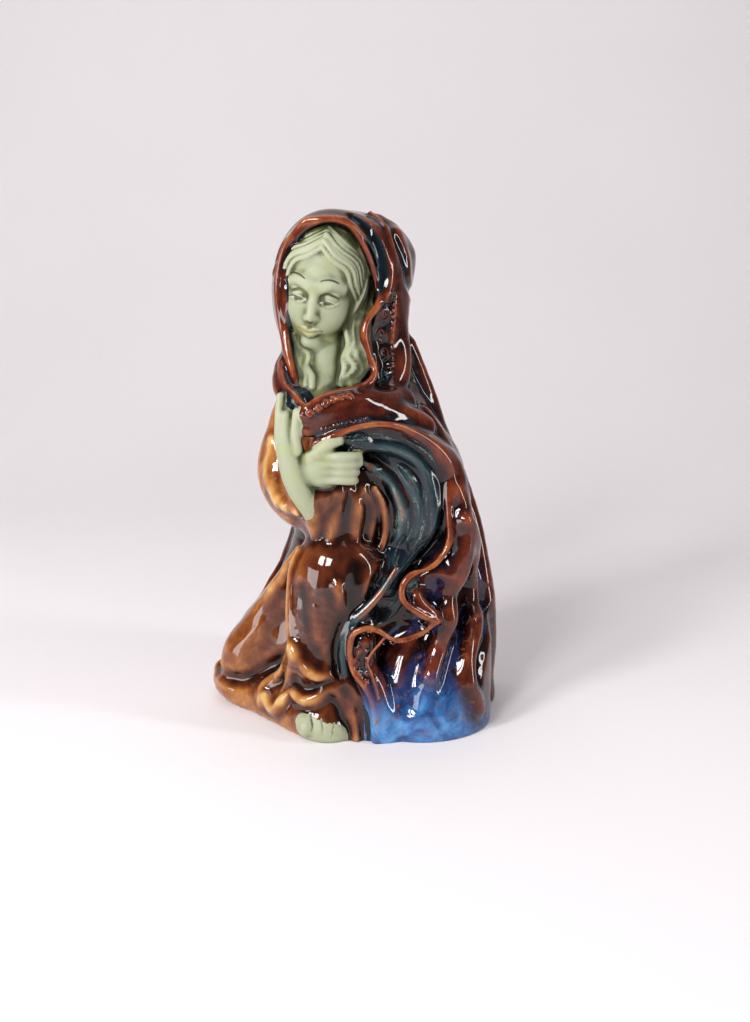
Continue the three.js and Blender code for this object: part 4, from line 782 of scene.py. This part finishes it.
def ornament():
    """Scroll border on the hood, the collar and the mantle's lower corner."""
    down = [0, 0, -1]
    band = [[17.5, -15, 201.5], [15, -16, 193.5], [13, -16.5, 184.5], [14, -16.5, 176.5],
        [15.5, -17, 168.5]]
    for k, place in enumerate(band):
        curl(MANTLE, place, down, 2.9, 1.2 if k % 2 else -1.2)
    beads(MANTLE, [[18.5, -13, 204], [18, -14, 190], [17.5, -14, 178], [18.5, -14, 166]], 14, 0.6)
    # small curls on the collar's edge
    for k in range(COLLAR_CURLS):
        t = k / (COLLAR_CURLS - 1)
        curl(MANTLE, [-19 + 17 * t, -49 + 6 * t, 153.5 + 7 * math.sin(1.6 * t)], [1, 0, 0.4], 1.5, 0.9)
    # dots along the rim over the hand
    beads(MANTLE, [[-14, -48, 146.5], [-5, -47, 149], [6, -44, 151]], 12, 0.6)
    # the lower corner
    curl(MANTLE, [2.8, -56, 43.8], down, 2, -1.3)
    curl(MANTLE, [2.4, -56, 39], [0, 0, 1], 2, 1.3)
    curl(MANTLE, [3.6, -56, 35], down, 1.3, -1)
    flower(MANTLE, [6.9, -57, 50], 1.7)
    flower(MANTLE, [6.4, -57, 30.8], 1.6)
    beads(MANTLE, [[7.4, -56, 44], [7, -56, 39], [6.4, -56, 34]], 4, 0.8)
    ridge(MANTLE, 0.8, 0.1, [[11.8, -56, 46, 0.6], [10, -56, 40.5, 0.6], [9.4, -56, 34.5, 0.6],
        [10, -56, 29.5, 0.6], [12, -57, 22, 0.6]])
    beads(MANTLE, [[13, -56, 46.5], [24, -54, 47.5], [33, -50, 48]], 13, 0.6)


def nets(values, low):
    """Points and four-sided faces of the zero surface of a grid of values, by surface nets."""
    inside = values < 0
    n = [s - 1 for s in values.shape]
    corners = [(i, j, k) for i in (0, 1) for j in (0, 1) for k in (0, 1)]
    full, touched = np.ones(n, bool), np.zeros(n, bool)
    for c in corners:
        part = inside[c[0] : c[0] + n[0], c[1] : c[1] + n[1], c[2] : c[2] + n[2]]
        full &= part
        touched |= part
    cells = np.argwhere(touched & ~full)
    number = np.full(n, -1, np.int32)
    number[tuple(cells.T)] = np.arange(len(cells))
    total, count = np.zeros((len(cells), 3)), np.zeros(len(cells))
    at = {c: values[tuple((cells + c).T)].astype(float) for c in corners}
    for a in corners:
        for axis in range(3):
            if a[axis]:
                continue
            b = tuple(1 if i == axis else v for i, v in enumerate(a))
            cross = (at[a] < 0) != (at[b] < 0)
            point = np.tile(np.array(a, float), (cross.sum(), 1))
            point[:, axis] += at[a][cross] / (at[a][cross] - at[b][cross])
            total[cross] += point
            count[cross] += 1
    points = low + CELL * (cells + total / count[:, None])
    faces = []
    for axis in range(3):
        u, v = (axis + 1) % 3, (axis + 2) % 3
        here, there = [slice(None)] * 3, [slice(None)] * 3
        here[axis], there[axis] = slice(0, -1), slice(1, None)
        a, b = inside[tuple(here)], inside[tuple(there)]
        step_u, step_v = np.eye(3, dtype=int)[u], np.eye(3, dtype=int)[v]
        for flip, mask in ((False, a & ~b), (True, ~a & b)):
            e = np.argwhere(mask)
            e = e[(e[:, u] > 0) & (e[:, v] > 0) & (e[:, u] < n[u]) & (e[:, v] < n[v])]
            ring = [e - step_u - step_v, e - step_v, e, e - step_u]
            quad = np.stack([number[tuple(r.T)] for r in ring], 1)
            faces.append(quad[:, ::-1] if flip else quad)
    return points, np.concatenate(faces)


def grid_surface():
    """The zero surface of the figure, from a grid that is fine only near it."""
    block = CELL * SPLIT
    counts = np.ceil((ROOM_HIGH - ROOM_LOW) / block).astype(int)
    middles = [ROOM_LOW[i] + block * (np.arange(counts[i]) + 0.5) for i in range(3)]
    centres = np.stack(np.meshgrid(*middles, indexing="ij"), -1).reshape(-1, 1, 3)
    rough = in_parts(figure, centres, SINGLE_BLOCKS)[:, 0]
    near = np.abs(rough) < block * BLOCK_NEAR
    steps = CELL * np.stack(np.meshgrid(*[np.arange(SPLIT)] * 3, indexing="ij"), -1).reshape(-1, 3)
    corner = centres[near] - block / 2
    values = np.repeat(rough[:, None], SPLIT**3, 1)
    values[near] = in_parts(lambda part: figure(part + steps), corner, WHOLE_BLOCKS)
    shape = (*counts, SPLIT, SPLIT, SPLIT)
    grid = values.reshape(shape).transpose(0, 3, 1, 4, 2, 5).reshape(*(counts * SPLIT))
    return nets(grid, ROOM_LOW)


def largest_shell(points, faces):
    """Leaves out what isn't joined to the largest shell, such as a pocket closed inside."""
    label = np.arange(len(points))
    while True:
        lowest = label[faces].min(1)
        new = label.copy()
        np.minimum.at(new, faces.ravel(), np.repeat(lowest, 4))
        new = new[new]
        if (new == label).all():
            break
        label = new
    kept = label == np.bincount(label).argmax()
    number = np.cumsum(kept) - 1
    return points[kept], number[faces[kept[faces[:, 0]]]]


def mesh_from(points, faces):
    mesh = bpy.data.meshes.new(PIECE)
    mesh.vertices.add(len(points))
    mesh.vertices.foreach_set("co", points.astype(np.float32).ravel())
    mesh.loops.add(faces.size)
    mesh.loops.foreach_set("vertex_index", faces.ravel().astype(np.int32))
    mesh.polygons.add(len(faces))
    mesh.polygons.foreach_set("loop_start", np.arange(0, faces.size, faces.shape[1], dtype=np.int32))
    mesh.update()
    return mesh


def within(points, room):
    """True for the points inside a room."""
    return ((points > room[0]) & (points < room[1])).all(1)


def thinned(points, faces):
    """The surface with fewer triangles where it is nearly flat."""
    rough = bpy.data.objects.new("rough", mesh_from(points, faces))
    bpy.context.scene.collection.objects.link(rough)
    group = rough.vertex_groups.new(name="free")
    kept = within(points, FACE_ROOM) | within(points, HANDS_ROOM)
    group.add(np.flatnonzero(~kept).tolist(), 1.0, "REPLACE")
    thin = rough.modifiers.new("thin", "DECIMATE")
    thin.vertex_group = "free"
    thin.vertex_group_factor = 0.01
    thin.ratio = min(1.0, TRIANGLES / (2 * len(faces)))
    thin.use_collapse_triangulate = True
    seen = rough.evaluated_get(bpy.context.evaluated_depsgraph_get()).to_mesh()
    out = np.zeros(len(seen.vertices) * 3, np.float32)
    seen.vertices.foreach_get("co", out)
    triangles = np.zeros(len(seen.polygons) * 3, np.int32)
    seen.polygons.foreach_get("vertices", triangles)
    bpy.data.objects.remove(rough)
    return out.reshape(-1, 3), triangles.reshape(-1, 3)


def settled(points):
    """Points moved onto the surface, with its outward directions."""
    for _ in range(2):
        d, n = slope(figure, points, SETTLE_SPAN)
        points = points - np.clip(d, -0.5, 0.5)[:, None] * n
    return points, slope(figure, points, DIRECTION_SPAN)[1]


def bulge(points, span, gain):
    """How the surface bulges over a span: over 0.5 on an edge, under it in a hollow, kept to 0 to 1."""
    d = in_parts(field, points[:, None, :] + span * CROSS, SMALL_BLOCKS)
    return np.clip(0.5 + gain * 6 * (d.mean(1) - one_by_one(field, points)) / span**2, 0, 1)


def openness(points, normals, ahead):
    """How free it is in front of the surface, from 0 to 1, looked at so far ahead in mm."""
    return np.clip(one_by_one(field, points + ahead * normals) / ahead, 0, 1)


def lining_flow(points):
    """Across and along the lining's sweep: 0 to 1 from its outer to its inner fold, and mm along it."""
    first, last = spline(LINING_OUTER, 6)[:, :3], spline(LINING_INNER, 6)[:, :3]
    run = np.r_[0, np.cumsum(np.linalg.norm(np.diff(first, axis=0), axis=1))]
    across = np.linspace(-0.3, 1.3, 13)
    knots = first[:, None] * (1 - across[:, None]) + last[:, None] * across[:, None]
    knots = knots.reshape(-1, 3)
    flow = np.zeros((len(points), 3), np.float32)
    near = (np.abs(points - knots.mean(0)) < [45, 40, 60]).all(1)
    place = points[near]
    groups = np.array_split(place, 1 + len(place) // WHOLE_BLOCKS)
    best = np.concatenate([((p[:, None] - knots) ** 2).sum(2).argmin(1) for p in groups])
    base = knots[best]
    row, column = best // len(across), best % len(across)
    ahead = knots.reshape(len(run), len(across), 3)
    side = ahead[row, np.minimum(column + 1, len(across) - 1)] - ahead[row, np.maximum(column - 1, 0)]
    front = ahead[np.minimum(row + 1, len(run) - 1), column] - ahead[np.maximum(row - 1, 0), column]
    off = place - base
    flow[near, 0] = across[column] + 0.27 * (off * side).sum(1) / np.maximum((side**2).sum(1), 1e-6)
    flow[near, 1] = run[row] + (off * front).sum(1) / np.maximum(np.linalg.norm(front, axis=1), 1e-6)
    return flow


class Number:
    """A number in the shader; arithmetic on it makes Math nodes."""

    def __init__(self, look, socket):
        self.look, self.socket = look, socket

    def plus(self, operation, *others):
        node = self.look.node("ShaderNodeMath", operation=operation)
        for i, value in enumerate((self, *others)):
            self.look.give(node.inputs[i], value)
        return Number(self.look, node.outputs[0])

    def __add__(self, other):
        return self.plus("ADD", other)

    def __sub__(self, other):
        return self.plus("SUBTRACT", other)

    def __mul__(self, other):
        return self.plus("MULTIPLY", other)

    def above(self, low, high):
        """0 below low, 1 above high and smooth between; with low over high, the other way round."""
        node = self.look.node("ShaderNodeMapRange", interpolation_type="SMOOTHSTEP")
        for i, value in enumerate((self, low, high, 0.0, 1.0)):
            self.look.give(node.inputs[i], value)
        return Number(self.look, node.outputs[0])

    def size(self):
        return self.plus("ABSOLUTE")


class Look:
    """The nodes of one material."""

    def __init__(self, name):
        self.material = bpy.data.materials.new(name)
        self.material.use_nodes = True
        self.tree = self.material.node_tree
        self.shader = self.tree.nodes["Principled BSDF"]

    def node(self, kind, **settings):
        node = self.tree.nodes.new(kind)
        for key, value in settings.items():
            setattr(node, key, value)
        return node

    def give(self, socket, value):
        if isinstance(value, Number):
            self.tree.links.new(value.socket, socket)
        elif isinstance(value, bpy.types.NodeSocket):
            self.tree.links.new(value, socket)
        else:
            socket.default_value = value

    def set(self, name, value):
        self.give(self.shader.inputs[name], value)

    def place(self):
        """The place on the piece, in mm."""
        coordinates = self.node("ShaderNodeTexCoord").outputs["Object"]
        node = self.node("ShaderNodeVectorMath", operation="SCALE")
        self.give(node.inputs[0], coordinates)
        self.give(node.inputs[3], 1 / METRES)
        return node.outputs[0]

    def parts(self, vector):
        node = self.node("ShaderNodeSeparateXYZ")
        self.give(node.inputs[0], vector)
        return [Number(self, out) for out in node.outputs]

    def mapped(self, vector, kind="POINT", location=(0, 0, 0), rotation=(0, 0, 0), scale=(1, 1, 1)):
        node = self.node("ShaderNodeMapping", vector_type=kind)
        for i, value in enumerate((vector, location, rotation, scale)):
            self.give(node.inputs[i], value)
        return node.outputs[0]

    def attribute(self, name):
        """The three numbers and the fourth one of a value kept on the points."""
        node = self.node("ShaderNodeAttribute", attribute_name=name)
        return [*self.parts(node.outputs["Color"]), Number(self, node.outputs["Alpha"])]

    def vector(self, name):
        return self.node("ShaderNodeAttribute", attribute_name=name).outputs["Vector"]

    def noise(self, vector, size, detail=3.0, rough=0.5, warp=0.0):
        """Noise from about 0.3 to 0.7 with features of that size in mm."""
        node = self.node("ShaderNodeTexNoise")
        self.give(node.inputs["Vector"], vector)
        node.inputs["Scale"].default_value = 1 / size
        node.inputs["Detail"].default_value = detail
        node.inputs["Roughness"].default_value = rough
        node.inputs["Distortion"].default_value = warp
        return Number(self, node.outputs["Fac"])

    def ramp(self, value, stops):
        """A colour from a list of position, red, green, blue."""
        node = self.node("ShaderNodeValToRGB")
        self.give(node.inputs[0], value)
        band = node.color_ramp
        while len(band.elements) < len(stops):
            band.elements.new(0.5)
        for element, (position, *colour) in zip(band.elements, stops):
            element.position = position
            element.color = (*colour, 1)
        return node.outputs[0]

    def mix(self, amount, first, second):
        """A colour or a number between two others."""
        number = isinstance(first, (Number, float, int))
        node = self.node("ShaderNodeMix", data_type="FLOAT" if number else "RGBA")
        inputs = [s for s in node.inputs if s.enabled]
        self.give(inputs[0], amount)
        for socket, value in zip(inputs[1:], (first, second)):
            self.give(socket, (*value, 1) if isinstance(value, tuple) else value)
        out = next(s for s in node.outputs if s.enabled)
        return Number(self, out) if number else out

    def bump(self, height, depth):
        """Surface unevenness; depth is in mm for a height from 0 to 1."""
        node = self.node("ShaderNodeBump")
        node.inputs["Distance"].default_value = depth * METRES
        self.give(node.inputs["Height"], height)
        self.set("Normal", node.outputs[0])


def mantle_colour(look, place, shape, xyz):
    """Oxblood glaze, orange where it thins over edges, blue where it pools low on the left side."""
    fine, broad, opening = shape
    x, y, z = xyz
    mottle = look.noise(place, 9, 5, 0.6, 0.6)
    # glaze thin over edges and pooled in hollows, and darker where sheltered: painted shade
    glaze_and_shade = fine * 0.36 + broad * 0.38 + opening * 0.2 + (mottle - 0.5) * 0.64
    brown = look.ramp(glaze_and_shade, [
        (0.32, 0.003, 0.0015, 0.002), (0.46, 0.014, 0.003, 0.003), (0.58, 0.046, 0.008, 0.004),
        (0.70, 0.105, 0.018, 0.007), (0.84, 0.20, 0.042, 0.012), (0.97, 0.33, 0.105, 0.030)])
    # the blue patch at the foot of the front panel, breaking up to the right and upwards
    cloud = look.noise(place, 16, 5, 0.62, 1.2)
    foot = (z - x.above(10, 34) * 9 + x.above(44, 58) * 26 + (cloud - 0.5) * 50).above(31, 12)
    side = (x - y * 0.3).above(20, 23)
    blue = look.ramp(cloud - z.above(7, 30) * 0.16, [
        (0.3, 0.012, 0.035, 0.11), (0.45, 0.03, 0.11, 0.30), (0.55, 0.06, 0.22, 0.50),
        (0.7, 0.13, 0.33, 0.60)])
    front = y.above(-14, -22)
    colour = look.mix(foot * front * side * 0.95, brown, blue)
    # navy pooled in the hollows of the lower folds
    pools = look.noise(place, 13, 4, 0.6, 0.8).above(0.46, 0.56)
    pools = pools * z.above(95, 60) * broad.above(0.56, 0.44)
    colour = look.mix(pools * x.above(14, 24) * 0.8, colour, (0.014, 0.022, 0.085))
    # teal-black pooled in the hollows of the hood and the collar
    dark = look.noise(place, 10, 4, 0.6, 0.8).above(0.47, 0.56)
    dark = dark * z.above(138, 148) * broad.above(0.50, 0.38)
    colour = look.mix(dark * 0.8, colour, (0.010, 0.022, 0.040))
    # rusty flecks low down
    rust = look.noise(place, 3.2, 4, 0.7, 0.3).above(0.56, 0.64)
    rust = rust * look.noise(place, 14, 2).above(0.42, 0.56)
    return look.mix(rust * z.above(80, 40) * 0.7, colour, (0.23, 0.055, 0.016))


def lining_colour(look, place, shape, flow):
    """Teal-black glaze with grey-green streaks that run along the sweep of the cloth."""
    fine, broad, opening = shape
    streaks = look.noise(look.mapped(flow, scale=(5.5, 0.045, 1)), 1, 5, 0.62, 0.35)
    grain = look.noise(place, 0.9, 3, 0.7)
    base = look.ramp(fine * 0.5 + broad * 0.5 + (streaks - 0.5) * 0.5, [
        (0.3, 0.002, 0.003, 0.005), (0.5, 0.004, 0.010, 0.016), (0.66, 0.013, 0.032, 0.040),
        (0.85, 0.065, 0.10, 0.095)])
    pale = streaks.above(0.54, 0.67) * grain.above(0.42, 0.60)
    colour = look.mix(pale * 0.85, base, (0.24, 0.29, 0.24))
    rusty = fine.above(0.60, 0.74) * look.noise(place, 11, 3).above(0.42, 0.56)
    return look.mix(rusty * 0.8, colour, (0.24, 0.06, 0.02))


def robe_colour(look, place, shape, xyz):
    """Brown glaze, near black where it is thick and, as painted shade, where it is sheltered, and amber
    on folds and towards the hem.
    """
    fine, broad, opening = shape
    x, y, z = xyz
    mottle = look.noise(place, 11, 4, 0.55, 0.8)
    runs = look.noise(look.mapped(place, scale=(1, 1, 0.3)), 4, 3, 0.5)
    # paler at the hem, on the far thigh and on the sleeves, darker beside the mantle
    tint = z.above(42, 8) * 0.07 + x.above(-16, -34) * 0.08 + z.above(86, 100) * 0.09
    tint = tint - x.above(-20, -4) * 0.09
    # glaze thin on folds and thick in hollows, and darker where sheltered: painted shade
    glaze_and_shade = fine * 0.36 + broad * 0.38 + opening * 0.18 + (mottle - 0.5) * 0.4 + (runs - 0.5) * 0.15
    return look.ramp(glaze_and_shade + tint, [
        (0.32, 0.005, 0.0012, 0.001), (0.46, 0.026, 0.005, 0.002), (0.58, 0.085, 0.018, 0.005),
        (0.70, 0.19, 0.054, 0.013), (0.82, 0.36, 0.145, 0.036), (0.96, 0.56, 0.34, 0.12)])


def stroke(across, width, along, low, high):
    """A painted stroke: full where across is small, ending softly at low and high."""
    ends = along.above(low, low + 0.7) * along.above(high, high - 0.7)
    return across.size().above(width, width * 0.45) * ends


def painted_face(look, colour, place):
    """Brows, lashes, irises and lips in the head's own frame, in mm."""
    euler = Matrix(turning(HEAD_TURN).tolist()).to_euler("XYZ")
    local = look.mapped(place, "TEXTURE", HEAD_PLACE, euler, (HEAD_SIZE,) * 3)
    x, y, z = look.parts(local)
    front = y.above(-10, -13)
    side = x.size()
    bow = (side - 7) * (side - 7)
    brow = stroke(z - 8.2 + bow * 0.075, 0.42, side, 3.0, 11.3)
    colour = look.mix(brow * front * 0.9, colour, (0.012, 0.010, 0.006))
    curve = (side - 6.4) * (side - 6.4)
    lash = stroke(z + 0.9 + curve * 0.085, 0.32, side, 2.8, 10.2)
    colour = look.mix(lash * front * 0.92, colour, (0.02, 0.016, 0.010))
    fromeye = curve + (z + 2.0) * (z + 2.0)
    iris = fromeye.above(1.35, 0.7) * (z + 1.0).above(0.15, -0.1)
    colour = look.mix(iris * front * 0.85, colour, (0.045, 0.038, 0.022))
    under = stroke(z + 3.05 - curve * 0.07, 0.28, side, 3.6, 9.4)
    colour = look.mix(under * front * 0.3, colour, (0.12, 0.12, 0.05))
    bend = x * x * 0.035
    lip = (bend + (z + 15.4 - bend) * (z + 15.4 - bend) * 0.22).above(1.0, 0.6)
    colour = look.mix(lip * front * 0.5, colour, (0.34, 0.30, 0.10))
    seam = stroke(z + 15.4 - bend, 0.26, x, -5.1, 5.1)
    return look.mix(seam * front * 0.6, colour, (0.13, 0.09, 0.03))


def skin_colour(look, place, shape, wide, xyz):
    """Matt sage green, olive and darker in the hollows, partly stain pooled there and partly painted
    shade, with painted shade where it is sheltered and on the side away from the window, and yellowish
    where the stain runs thin.
    """
    fine, broad, opening = shape
    x, y, z = xyz
    drift = look.noise(place, 14, 3, 0.5, 0.5)
    # darker in the hollows, partly stain, and darker where other parts shelter it near and far: painted
    # shade
    light = fine * 0.85 + broad * 0.34 + opening * 0.15 + wide * 0.30 - 0.44 + (drift - 0.5) * 0.24
    # the foot is paler; the side of the face away from the window is darker, painted shade with some
    # stain
    light = light + z.above(24, 10) * 0.14 - x.above(-9, 4) * z.above(160, 172) * 0.20
    # the neck under the hood and the locks beside it are darker too: painted shade
    light = light - z.above(180, 168) * z.above(152, 158) * 0.15
    light = light - x.above(-3, 3) * z.above(200, 185) * z.above(148, 156) * 0.08
    colour = look.ramp(light, [
        (0.28, 0.045, 0.050, 0.016), (0.42, 0.125, 0.140, 0.065), (0.54, 0.245, 0.268, 0.165),
        (0.68, 0.30, 0.325, 0.205), (0.85, 0.355, 0.372, 0.25)])
    warm = look.noise(place, 9, 2).above(0.52, 0.66)
    return look.mix(warm * 0.3, colour, (0.33, 0.345, 0.13))


def glazed_look():
    """All four grounds of the figure in one glaze: mantle, lining, robe and the unglazed skin."""
    look = Look("glazed_porcelain")
    place = look.place()
    xyz = look.parts(place)
    mantle, lining, robe, skin = look.attribute("zones")
    # the fourth value is how open the surface lies far ahead, read for the skin's painted shade
    *shape, wide = look.attribute("shape")
    wander = (look.noise(place, 2.5, 3) - 0.5) * 0.5
    colour = mantle_colour(look, place, shape, xyz)
    streaked = lining_colour(look, place, shape, look.vector("flow"))
    colour = look.mix((lining + wander).above(0.42, 0.58), colour, streaked)
    colour = look.mix((robe + wander).above(0.42, 0.58), colour, robe_colour(look, place, shape, xyz))
    bare = (skin + wander * 0.4).above(0.45, 0.55)
    face = painted_face(look, skin_colour(look, place, shape, wide, xyz), place)
    look.set("Base Color", look.mix(bare, colour, face))
    grain = look.noise(place, 0.8, 3, 0.7)
    patches = look.noise(place, 6, 3)
    dull = (lining.above(0.5, 0.6) * grain.above(0.45, 0.6)) * 0.12
    look.set("Roughness", look.mix(bare, dull + patches * 0.06 + 0.035, patches * 0.12 + 0.50))
    look.shader.inputs["IOR"].default_value = 1.52
    look.bump(look.mix(bare, look.noise(place, 9, 1) * 0.4 + grain * lining * 0.05, grain * 0.16), 0.35)
    return look.material


def plain_look(name, colour, rough, cloud=0.0):
    """Pale paper or cloth with a faint cloudiness."""
    look = Look(name)
    node = look.node("ShaderNodeTexCoord").outputs["Object"]
    soft = look.noise(node, 0.45, 3, 0.5)
    darker = tuple(c * (1 - cloud) for c in colour)
    look.set("Base Color", look.mix(soft.above(0.35, 0.65), darker, colour))
    look.set("Roughness", rough)
    return look.material


def porcelain():
    """The one piece: mesh, directions, the values its look reads, and its place in the frame."""
    points, faces = largest_shell(*grid_surface())
    points, triangles = thinned(points, faces)
    points, normals = settled(points)
    zones = one_by_one(lambda part: field(part, True)[1], points)
    # the hood stays brown where it hugs the hair at the temple
    zones[within(points, TEMPLE_ROOM)] = [1, 0, 0, 0]
    fine = bulge(points, *FINE_BULGE)
    broad = bulge(points, *BROAD_BULGE)
    # how open the surface lies near and far ahead: the look darkens sheltered places with it, painted
    # shade
    near = openness(points, normals, NEAR_AHEAD)
    far = openness(points, normals, FAR_AHEAD)
    flow = lining_flow(points)
    # into the frame's box
    low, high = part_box(NODE)
    size = points.max(0) - points.min(0)
    scale = min((np.array(high - low) / size)[:3]) * 0.9995
    middle = (points.max(0) + points.min(0)) / 2
    middle[2] = points[:, 2].min()
    target = np.array((low + high) / 2)
    target[2] = low.z
    mesh = mesh_from((points - middle) * scale + target, triangles)
    mesh.polygons.foreach_set("use_smooth", np.ones(len(triangles), bool))
    mesh.normals_split_custom_set_from_vertices(normals)
    values = mesh.color_attributes.new("zones", "FLOAT_COLOR", "POINT")
    values.data.foreach_set("color", zones.astype(np.float32).ravel())
    values = mesh.color_attributes.new("shape", "FLOAT_COLOR", "POINT")
    shape = np.stack([fine, broad, near, far], 1)
    values.data.foreach_set("color", shape.astype(np.float32).ravel())
    values = mesh.attributes.new("flow", "FLOAT_VECTOR", "POINT")
    values.data.foreach_set("vector", flow.ravel())
    piece = bpy.data.objects.new(PIECE, mesh)
    bpy.context.scene.collection.objects.link(piece)
    piece.data.materials.append(glazed_look())
    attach(piece, "root")
    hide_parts(NODE)
    return piece


def backdrop():
    """A pale sheet: flat under the figure and rising behind it in a wide curve."""
    front, back, radius, half, height = -2.2, 1.1, 0.7, 3.0, 3.2
    profile = [(front, 0.0), (back - radius, 0.0)]
    for step in range(1, 13):
        angle = math.pi / 2 * step / 12
        profile.append((back - radius + radius * math.sin(angle), radius - radius * math.cos(angle)))
    profile.append((back, height))
    points = [(x, y, z) for y, z in profile for x in (-half, half)]
    faces = np.array([[2 * i, 2 * i + 1, 2 * i + 3, 2 * i + 2] for i in range(len(profile) - 1)])
    mesh = mesh_from(np.array(points), faces)
    mesh.polygons.foreach_set("use_smooth", np.ones(len(faces), bool))
    sheet = bpy.data.objects.new("backdrop", mesh)
    bpy.context.scene.collection.objects.link(sheet)
    mesh.materials.append(plain_look("pale_sheet", (0.80, 0.755, 0.77), 0.85, 0.03))


def window(name, place, aim, width, height, power, colour=(1, 1, 1)):
    """A rectangular soft light."""
    light = bpy.data.lights.new(name, "AREA")
    light.shape = "RECTANGLE"
    light.size, light.size_y = width, height
    light.energy = power
    light.color = colour
    lamp = bpy.data.objects.new(name, light)
    bpy.context.scene.collection.objects.link(lamp)
    lamp.location = place
    lamp.rotation_mode = "QUATERNION"
    lamp.rotation_quaternion = (Vector(aim) - Vector(place)).to_track_quat("-Z", "Y")


def lights():
    aim = (0, 0, 0.12)
    # two panes of a tall window at the front left
    window("pane_left", (-0.68, -0.72, 0.72), aim, 0.22, 0.36, 8.0)
    window("pane_right", (-0.40, -0.90, 0.72), aim, 0.22, 0.36, 6.5)
    # a low pale screen at the left, a tall window at the right and a soft one overhead
    window("low_left", (-0.85, -0.55, 0.12), aim, 0.5, 0.35, 3.6)
    window("tall_right", (0.95, -0.35, 0.45), aim, 0.10, 0.9, 4.6)
    window("overhead", (-0.2, 0.25, 1.9), (-0.2, 0.25, 0), 1.6, 1.4, 8.6)
    # one that only the sheet behind the figure sees
    window("sheet_light", (0.0, 0.35, 1.5), (0, 1.2, 0.45), 1.2, 0.4, 2.6)
    world = bpy.data.worlds.new("room")
    bpy.context.scene.world = world
    world.use_nodes = True
    ground = world.node_tree.nodes["Background"]
    ground.inputs["Color"].default_value = (0.90, 0.88, 0.92, 1)
    ground.inputs["Strength"].default_value = 0.12


def camera():
    """Seen from the front, a little from above."""
    tilt, distance = math.radians(CAMERA_TILT), CAMERA_DISTANCE
    data = bpy.data.cameras.new("camera")
    data.lens, data.sensor_width = CAMERA_LENS, 36
    eye_point = bpy.data.objects.new("camera", data)
    bpy.context.scene.collection.objects.link(eye_point)
    height = CAMERA_AIM + distance * math.sin(tilt)
    eye_point.location = (CAMERA_SIDE, -distance * math.cos(tilt), height)
    eye_point.rotation_euler = (math.pi / 2 - tilt, 0, 0)
    bpy.context.scene.camera = eye_point
    bpy.context.scene.view_settings.view_transform = "Standard"


for build in (body, mantle_front, lining_scoop, hood_cut, legs_detail, head, arms, foot, rims, collar,
              right_edge, lining_folds, lower_edge, outer_folds, ornament):
    build()
figurine = porcelain()
backdrop()
lights()
camera()
